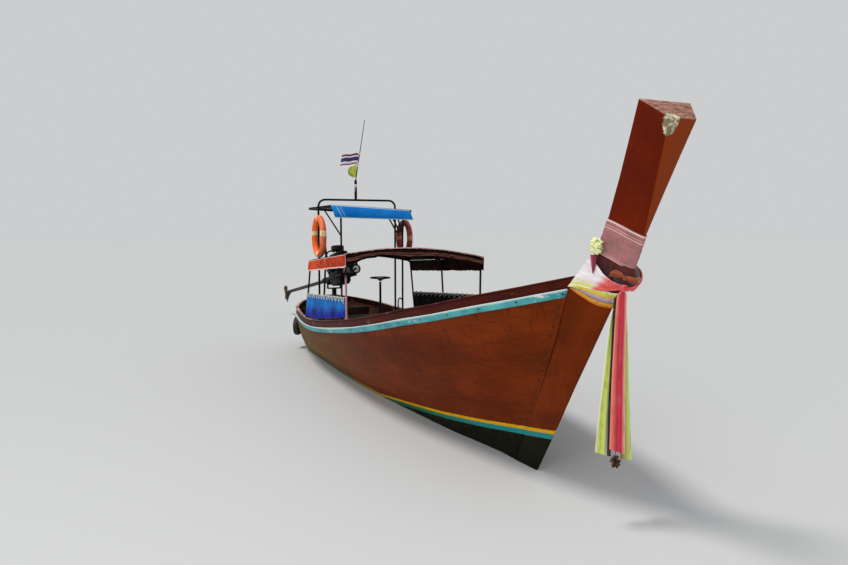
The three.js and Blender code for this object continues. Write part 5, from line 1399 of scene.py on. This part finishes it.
def wrap_place(u, v):
    """u goes once round the stem from behind it, v goes down."""
    turn = math.pi + u * 2 * math.pi
    height = WRAP_HIGH + (WRAP_LOW - WRAP_HIGH) * v + WRAP_TILT * math.cos(turn)
    edge = 0.5 + 0.5 * math.cos((v - 0.5) * math.pi)
    crease = ripple(u * 2.2, v * 3.0, 0, 0.20, 0.36) + 0.6 * ripple(u * 1.2, v * 7.0, 0, 0.16, 5.0)
    swell = WRAP_FOLDS * max(0.0, crease + 0.5) * (0.35 + 0.65 * edge)
    return round_stem(height, turn, WRAP_LIFT + swell)


def wrap_cloth():
    sheet = Finish("wrap_cloth", Sheen_Weight=0.2)
    u, v, _ = sheet.uv()
    wide = sheet.noise(7.0, 6, 0.7)
    fold = sheet.noise(16.0, 6, 0.7, sheet.stretched((1, 1, 1.6)))
    fine = sheet.noise(170.0, 3, 0.7)
    colour = sheet.mix(sheet.step(wide, 0.36, 0.64), srgb(196, 126, 128), srgb(160, 112, 108))
    colour = sheet.mix(sheet.step(fold, 0.56, 0.70) * 0.4, colour, srgb(142, 84, 88))
    soil = sheet.step(sheet.noise(24.0, 6, 0.75), 0.60, 0.68)
    colour = sheet.mix(soil * 0.35, colour, srgb(206, 176, 158))
    wander = (sheet.noise(10.0, 3) - 0.5) * 0.05
    # stitched lines: how far down, half their width, strength and colour
    for at, half, strength, tint in (
        (0.04, 0.022, 0.95, (250, 226, 218)), (0.125, 0.008, 0.6, (90, 50, 52)),
        (0.16, 0.012, 0.6, (226, 190, 184)), (0.23, 0.016, 0.8, (240, 208, 196)),
        (0.93, 0.012, 0.55, (226, 184, 172)), (0.985, 0.015, 0.6, (232, 196, 178)),
    ):
        line = v - at + wander * (1 - at)
        band = 1 - sheet.step(line.absolute(), half * 0.6, half)
        colour = sheet.mix(band * strength, colour, srgb(*tint))
    weave = (u * 1900).sine() * (v * 620).sine()
    return sheet.done(colour, 0.75, fold * 0.7 + fine * 0.12 + weave * 0.10, 0.004)


laid("bow_wrap", wrap_place, wrap_cloth(), grid=(180, 36), thick=0.0025,
     stands_for="prow_wrap")


# Maroon band and ribbons: a dark maroon cloth bound under the wrap, which hangs open in front and to
# port. A brown ribbon is drawn round it and knotted in front.
FLARE_TURN, FLARE_OUT = 0.80, 0.076


def flare(turn, height):
    """How far the maroon band stands off the stem: it hangs open forward and to port."""
    down = min(1.0, max(0.0, (0.005 - height) / 0.085)) ** 1.3
    near = max(0.0, math.cos((turn - FLARE_TURN) * 0.85)) ** 1.3
    return FLARE_OUT * near * down if abs(turn - FLARE_TURN) < 1.8 else 0.0


LOOP_TURNS = (-0.4, 0.0, 0.35, 0.75, 1.15, 1.6, 2.1, 2.6, 3.14, 3.7, 4.0)
LOOP_DROPS = (0.183, 0.182, 0.158, 0.130, 0.116, 0.106, 0.085, 0.055, 0.030, 0.012, 0.0)


def loop_drop(turn):
    """How far below the wrap's foot the coral loop runs, by the turn round the stem."""
    return float(numpy.interp(turn, LOOP_TURNS, LOOP_DROPS))


def maroon_place(u, v):
    turn = (u * 2 - 1) * math.pi
    height = -0.008 - loop_drop(turn) * v
    crease = 0.006 * (ripple(math.cos(turn), math.sin(turn), v * 0.6, 0.22) + 0.5) * min(1.0, v * 4)
    return round_stem(height, turn, 0.001 + crease + flare(turn, height))


MAROON_CLOTH = banded_cloth("maroon_cloth", [
    (0.0, (92, 16, 20)), (0.45, (64, 8, 14)), (1.0, (34, 5, 10))], shade=0.5, wear=0.04)
laid("bow_band_maroon", maroon_place, MAROON_CLOTH, grid=(160, 26), thick=0.002)


def ribbon_place(from_turn, to_turn, from_height, to_height, width):
    """place(u, v) for a ribbon drawn round the stem from the knot, bellied and folded."""
    def place(u, v):
        turn = from_turn + (to_turn - from_turn) * u
        belly = math.sin(math.pi * u) ** 0.7
        height = from_height + (to_height - from_height) * u + 0.012 * belly
        height += (0.5 - v) * (0.010 + width * belly ** 0.6 * 0.8 + width * 0.35 * u)
        fold = 0.004 * math.sin(v * 14 + u * 3) * belly + 0.010 * belly
        return round_stem(height, turn, 0.008 + flare(turn, height) + fold)

    return place


BROWN_RIBBON = banded_cloth("brown_ribbon", [
    (0.0, (176, 92, 46)), (0.5, (142, 60, 26)), (1.0, (112, 40, 20))], shade=0.5, wear=0.08)
for name, width, values in (("bow_ribbon_left", 0.050, (-0.42, -1.45, -0.088, -0.128, 0.050)),
                            ("bow_ribbon_right", 0.060, (-0.30, 0.62, -0.088, -0.116, 0.056))):
    laid(name, ribbon_place(*values), BROWN_RIBBON, grid=(40, 12), thick=0.0015)


def knot(name, centre, size, material, seed):
    """A pulled knot: a small ball creased by the turns of cloth that cross over it."""
    clear()
    bpy.ops.mesh.primitive_uv_sphere_add(segments=40, ring_count=24, radius=1.0)
    piece = bpy.context.object
    for corner in piece.data.vertices:
        way = corner.co.normalized()
        turns = math.sin(way.x * 7 + way.z * 5 + seed) * 0.10 + 0.10 * ripple(*way, 0.6, seed)
        corner.co = centre + Vector(way[k] * size[k] * (1 + turns) for k in range(3))
    bpy.ops.object.shade_smooth()
    settled(piece, name, material)


RIBBON_KNOT = round_stem(-0.086, -0.36, 0.018 + flare(-0.36, -0.086))
knot("bow_ribbon_knot", RIBBON_KNOT, (0.014, 0.013, 0.017), BROWN_RIBBON, 2.0)


# Sash: thin dyed cloths tied round the bow for luck. Bands of orange, mauve and yellow-green lie
# lowest, a white and coral shawl covers them, and its ends meet in a knot in front of the stem.
BOW = solid_of("stem_post", "side_planks_starboard", "side_planks_port", "rub_rail_starboard",
               "rub_rail_port", "coaming_starboard", "coaming_port", "cap_rail_starboard", "cap_rail_port")
KNOT = Vector((4.853, -0.028, 1.768))
FRONT_SHARE = 0.2


def along(line, share):
    """The point at this share of a line of (x, z), counted by its points."""
    at = [k / (len(line) - 1) for k in range(len(line))]
    return [numpy.interp(share, at, [point[k] for point in line]) for k in (0, 1)]


def girdle(upper, lower, lift, folds):
    """place(u, v) for a band round the bow from starboard to port. Its edges run from the front aft,
    and the front share of it turns round the stem."""
    def place(u, v):
        way = 2 * u - 1
        share = max(0.0, (abs(way) - FRONT_SHARE) / (1 - FRONT_SHARE))
        (x0, z0), (x1, z1) = along(upper, share), along(lower, share)
        turn = math.pi / 2 * min(1.0, abs(way) / FRONT_SHARE) * (1 if way > 0 else -1)
        out = Vector((math.cos(turn), math.sin(turn), 0))
        inside = Vector((x0 + (x1 - x0) * v, 0, z0 + (z1 - z0) * v))
        hit = BOW.ray_cast(inside + out * 0.8, -out, 0.8)[0]
        wander = share * 2.5 + 2 * ripple(inside.x, 0, inside.z, 0.15)
        pleat = folds * (0.5 + 0.5 * math.sin(v * 16 + wander))
        return (hit or inside + out * 0.03) + out * (lift + pleat)

    return place


# each band's upper and lower edge, lift, fold depth, flat width and colours
BANDS = {
    "orange": ([(4.672, 1.634), (4.62, 1.648), (4.57, 1.676), (4.52, 1.722), (4.475, 1.756)],
               [(4.655, 1.600), (4.60, 1.612), (4.555, 1.640), (4.50, 1.695), (4.463, 1.738)],
               0.003, 0.006, 0.0456,
               [(0.0, (236, 190, 60)), (0.45, (232, 150, 24)), (1.0, (196, 104, 14))]),
    "mauve": ([(4.728, 1.700), (4.680, 1.714), (4.610, 1.736), (4.555, 1.752), (4.50, 1.768)],
              [(4.690, 1.630), (4.62, 1.648), (4.570, 1.680), (4.525, 1.718), (4.475, 1.748)],
              0.008, 0.007, 0.075,
              [(0.0, (238, 226, 236)), (0.5, (206, 180, 190)), (1.0, (132, 104, 112))]),
    "green": ([(4.740, 1.720), (4.70, 1.734), (4.645, 1.760), (4.565, 1.776), (4.49, 1.785)],
              [(4.716, 1.672), (4.665, 1.682), (4.605, 1.708), (4.545, 1.732), (4.472, 1.758)],
              0.014, 0.007, 0.064,
              [(0.0, (246, 246, 210)), (0.4, (214, 226, 110)), (0.75, (236, 196, 60)),
               (1.0, (206, 190, 70))]),
}
for colour, (upper, lower, lift, folds, width, stops) in BANDS.items():
    dyed = banded_cloth(f"sash_{colour}", stops, shade=0.4, wear=0.15, fold=20.0)
    laid(f"sash_band_{colour}", girdle(upper, lower, lift, folds), dyed, grid=(120, 14),
         thick=0.002)

SHAWL_UPPER = [(4.646, 1.990), (4.690, 1.926), (4.722, 1.872), (4.765, 1.812), (4.815, 1.780)]
SHAWL_LOWER = [(4.463, 1.752), (4.545, 1.758), (4.625, 1.744), (4.700, 1.730), (4.800, 1.744)]


def shawl_place(side):
    """place(u, v) for one side of the shawl: u runs forward to the knot, v down."""
    def place(u, v):
        upper, lower = along(SHAWL_UPPER, u), along(SHAWL_LOWER, u)
        x, z = (upper[k] + (lower[k] - upper[k]) * v for k in (0, 1))
        hit = BOW.ray_cast(Vector((x, side * 0.9, z)), Vector((0, -side, 0)), 0.9)[0]
        y = abs(hit.y) if hit else 0.05
        pull = max(0.0, (u - 0.72) / 0.28) ** 1.5
        pleats = 0.5 + 0.5 * math.sin(v * (10 + 8 * u) + 2.5 * ripple(u, v, 0, 0.5, side))
        lift = 0.022 + (0.004 + 0.012 * u) * pleats + 0.006 * ripple(u, v, 0, 0.25, 4 + side)
        point = Vector((x, side * (y + lift), z))
        end = KNOT + Vector((-0.004, side * 0.012, 0.022 - 0.040 * v))
        return point.lerp(end, pull)

    return place


def shawl_cloth():
    sheet = Finish("shawl_cloth", Sheen_Weight=0.3)
    u, v, _ = sheet.uv()
    wander = (sheet.noise(7.0, 4, 0.6) - 0.5) * 0.25
    pleat = sheet.noise(10.0, 5, 0.65, sheet.join(u * 0.12, v * 0.9, 0.0))
    white = sheet.mix(sheet.step(pleat, 0.40, 0.62), srgb(255, 250, 252), srgb(246, 226, 236))
    coral = sheet.mix(sheet.step(pleat, 0.38, 0.62), srgb(248, 116, 108), srgb(206, 62, 70))
    toward = sheet.step(u + wander + (v - 0.5) * 0.16, 0.44, 0.66)
    colour = sheet.mix(toward, white, coral)
    low = sheet.step(v + wander * 0.6 - (1 - u) * 0.10, 0.48, 0.84) * (1 - toward)
    lime = sheet.mix(sheet.step(pleat, 0.44, 0.56), srgb(250, 248, 196), srgb(216, 224, 84))
    colour = sheet.mix(low * 0.9, colour, lime)
    edge = 1 - sheet.step(v, 0.03, 0.05)
    colour = sheet.mix(edge * toward * 0.7, colour, srgb(255, 190, 180))
    weave = (u * 1100).sine() * (v * 1100).sine()
    return sheet.done(colour, 0.65, pleat * 0.9 + weave * 0.08, 0.003)


SHAWL_CLOTH = shawl_cloth()
laid("sash_shawl_starboard", shawl_place(-1), SHAWL_CLOTH, grid=(70, 40), thick=0.002,
     stands_for="sash_wrap")
laid("sash_shawl_port", shawl_place(1), SHAWL_CLOTH, grid=(70, 40), thick=0.002)


def end_place(u, v):
    """The maroon cloth's loose end, pointed, over the starboard shawl."""
    middle = Vector((4.696 - 0.024 * v, 0, 2.004 - 0.140 * v))
    middle += Vector((1, 0, 0)) * (u - 0.5) * 0.056 * (1 - v) ** 0.7
    hit = BOW.ray_cast(Vector((middle.x, -0.9, middle.z)), Vector((0, 1, 0)), 0.9)[0]
    return Vector((middle.x, (hit.y if hit else -0.05) - 0.046 - 0.004 * math.sin(u * 9), middle.z))


# pale pink along one edge: a painted highlight
END_CLOTH = banded_cloth("maroon_end_cloth", [
    (0.0, (196, 104, 122)), (0.4, (142, 40, 62)), (1.0, (104, 22, 40))], down=False, shade=0.5, wear=0.10)
laid("bow_band_end", end_place, END_CLOTH, grid=(14, 22), thick=0.0015)

CORAL = [(0.0, (255, 176, 166)), (0.15, (238, 96, 92)), (0.55, (222, 66, 76)), (0.85, (240, 110, 104)),
         (1.0, (255, 190, 180))]
LOOP = [KNOT + Vector((0.002, 0.004, 0.0))]
for k in range(18):
    turn = 0.16 + 0.22 * k
    height = 0.010 - loop_drop(turn)
    LOOP.append(round_stem(height, turn, 0.014 + flare(turn, height - 0.012)))


def smooth_line(points, share):
    """A point on the smooth curve through the points (Catmull-Rom)."""
    at = share * (len(points) - 1)
    k = min(int(at), len(points) - 2)
    t = at - k
    a, b, c, d = (points[min(max(j, 0), len(points) - 1)] for j in (k - 1, k, k + 1, k + 2))
    bend, twist = 2 * a - 5 * b + 4 * c - d, 3 * b - a - 3 * c + d
    return 0.5 * (2 * b + (c - a) * t + bend * t * t + twist * t ** 3)


def loop_place(u, v):
    middle = smooth_line(LOOP, u)
    width = 0.026 + 0.036 * min(1.0, u * 9) * (1 - 0.25 * u)
    fold = 0.007 * math.sin(v * 13 + u * 7) * min(1.0, u * 6)
    outward = Vector((middle.x - 4.70, middle.y, 0)).normalized()
    return middle + UPWARD * (0.5 - v) * width + outward * (fold + 0.010 * math.sin(math.pi * v))


LOOP_CLOTH = banded_cloth("loop_cloth", CORAL, shade=0.5, wear=0.12, fold=22.0)
laid("sash_loop", loop_place, LOOP_CLOTH, grid=(110, 16), thick=0.002)
knot("sash_knot", KNOT + Vector((0.006, -0.002, -0.002)), (0.021, 0.027, 0.025), LOOP_CLOTH, 0.6)


# Tails: the sash's long ends. Two yellow-green cloths and a thin dark one hang behind a folded coral
# one, and the rest of a dried garland hangs lowest.
def tail_place(top, bottom, neck, low_z, depth, swing, folds, deep, seed):
    """place(u, v) for one tail. top and bottom are (y from, y to). The cloth is a narrow neck from
    the knot down to the height neck, and widens below it."""
    tied = KNOT + Vector((-0.008, 0, -0.008))

    def place(u, v):
        z = tied.z + (low_z[0] + (low_z[1] - low_z[0]) * u - tied.z) * v
        gather = min(1.0, max(0.0, (tied.z - z) / (tied.z - neck)))
        spread = min(1.0, max(0.0, (neck - z) / (neck - low_z[0]))) ** 0.7
        y0, y1 = (top[k] + (bottom[k] - top[k]) * spread for k in (0, 1))
        knot_y = tied.y + (u - 0.5) * 0.014
        y = knot_y + (y0 + (y1 - y0) * u - knot_y) * gather
        wave = math.sin(u * folds * 2 * math.pi + seed + 0.9 * v)
        x = depth + swing * v + deep * wave * (0.25 + 0.75 * v) + 0.004 * ripple(u, v, seed, 0.3)
        return Vector((tied.x + (x - tied.x) * gather, y + 0.008 * math.sin(v * 5 + seed) * v, z))

    return place


LIME = [(0.0, (252, 254, 220)), (0.18, (232, 244, 124)), (0.5, (206, 226, 92)), (0.8, (242, 250, 160)),
        (1.0, (252, 254, 215))]
OLIVE = [(0.0, (130, 100, 44)), (0.3, (170, 162, 70)), (0.65, (196, 212, 100)), (1.0, (228, 242, 160))]
CORAL_FOLDS = [(0.0, (255, 178, 160)), (0.12, (250, 120, 104)), (0.30, (206, 44, 60)),
               (0.42, (176, 28, 50)), (0.55, (232, 60, 84)), (0.68, (196, 36, 58)),
               (0.80, (246, 118, 110)), (1.0, (255, 186, 170))]
DARK = [(0.0, (60, 30, 24)), (1.0, (40, 20, 18))]
# name, colours, flat width, then the values of tail_place in their order
for name, stops, width, *values in (
    ("tail_lime", LIME, 0.074, (-0.090, -0.062), (-0.218, -0.106), 1.600, (0.560, 0.515),
     4.806, 0.004, 1.6, 0.0050, 0.4),
    ("tail_dark", DARK, 0.0398, (-0.096, -0.062), (-0.124, -0.084), 1.690, (0.520, 0.510),
     4.822, 0.000, 0.5, 0.0030, 1.4),
    ("tail_olive", OLIVE, 0.0814, (-0.006, 0.014), (0.000, 0.112), 1.690, (0.475, 0.455),
     4.812, 0.004, 2.1, 0.0055, 2.2),
    ("tail_coral", CORAL_FOLDS, 0.1326, (-0.080, 0.008), (-0.120, 0.020), 1.715, (0.575, 0.515),
     4.842, -0.002, 2.4, 0.0090, 3.0),
):
    dyed = banded_cloth(name + "_cloth", stops, down=False, shade=0.35, wear=0.10, fold=26.0)
    laid(name, tail_place(*values), dyed, grid=(28, 90), thick=0.0016,
         stands_for="sash_tails" if name == "tail_coral" else None)


# Garlands: threaded blossoms. A fresh yellow-green one hangs at the wrap's after corner, and a dried
# one below the tails.
def blossoms(name, centre, spread, count, size, material, thread):
    """A heap of small cupped blossoms round the centre, on their thread."""
    random.seed(name)
    pieces = []
    for k in range(count):
        way = Vector((random.gauss(0, 1), random.gauss(0, 1), random.gauss(0, 1))).normalized()
        reach = random.random() ** 0.4
        clear()
        bpy.ops.mesh.primitive_ico_sphere_add(subdivisions=2, radius=1)
        petal = bpy.context.object
        spin = Matrix.Rotation(random.uniform(0, 6.28), 3, "Z")
        turn = spin @ Matrix.Rotation(random.uniform(-1.2, 1.2), 3, "X")
        spot = Vector(centre) + Vector(way[j] * reach * spread[j] for j in range(3))
        for corner in petal.data.vertices:
            out = corner.co.copy()
            cup = 1 + 0.35 * math.sin(5 * math.atan2(out.y, out.x))
            corner.co = spot + turn @ Vector((out.x * size * cup, out.y * size * cup, out.z * size * 0.55))
        pieces.append(petal)
    pieces.append(pipe(thread, 0.0022, 2))
    made = join(pieces)
    bpy.ops.object.shade_smooth()
    settled(made, name, material)


def petals(name, light, dark, third):
    flower = Finish(name)
    tone = flower.noise(60.0, 3, 0.6)
    colour = flower.mix(flower.step(tone, 0.42, 0.58), srgb(*light), srgb(*dark))
    colour = flower.mix(flower.step(flower.noise(34.0, 2), 0.56, 0.62), colour, srgb(*third))
    return flower.done(colour, 0.7, tone, 0.002)


PETALS_FRESH = petals("petals_fresh", (255, 255, 228), (232, 238, 150), (176, 206, 84))
blossoms("garland_fresh", (4.735, -0.194, 2.074), (0.056, 0.026, 0.064), 150, 0.0115, PETALS_FRESH,
         [(4.790, -0.170, 2.100), (4.740, -0.190, 2.120), (4.690, -0.190, 2.090), (4.700, -0.188, 2.030),
          (4.760, -0.186, 2.020)])
PETALS_DRIED = petals("petals_dried", (96, 66, 52), (54, 36, 32), (132, 88, 62))
blossoms("garland_dried", (4.822, -0.044, 0.462), (0.020, 0.044, 0.052), 46, 0.011, PETALS_DRIED,
         [(4.826, -0.034, 1.700), (4.824, -0.052, 1.100), (4.822, -0.044, 0.600), (4.822, -0.044, 0.440)])
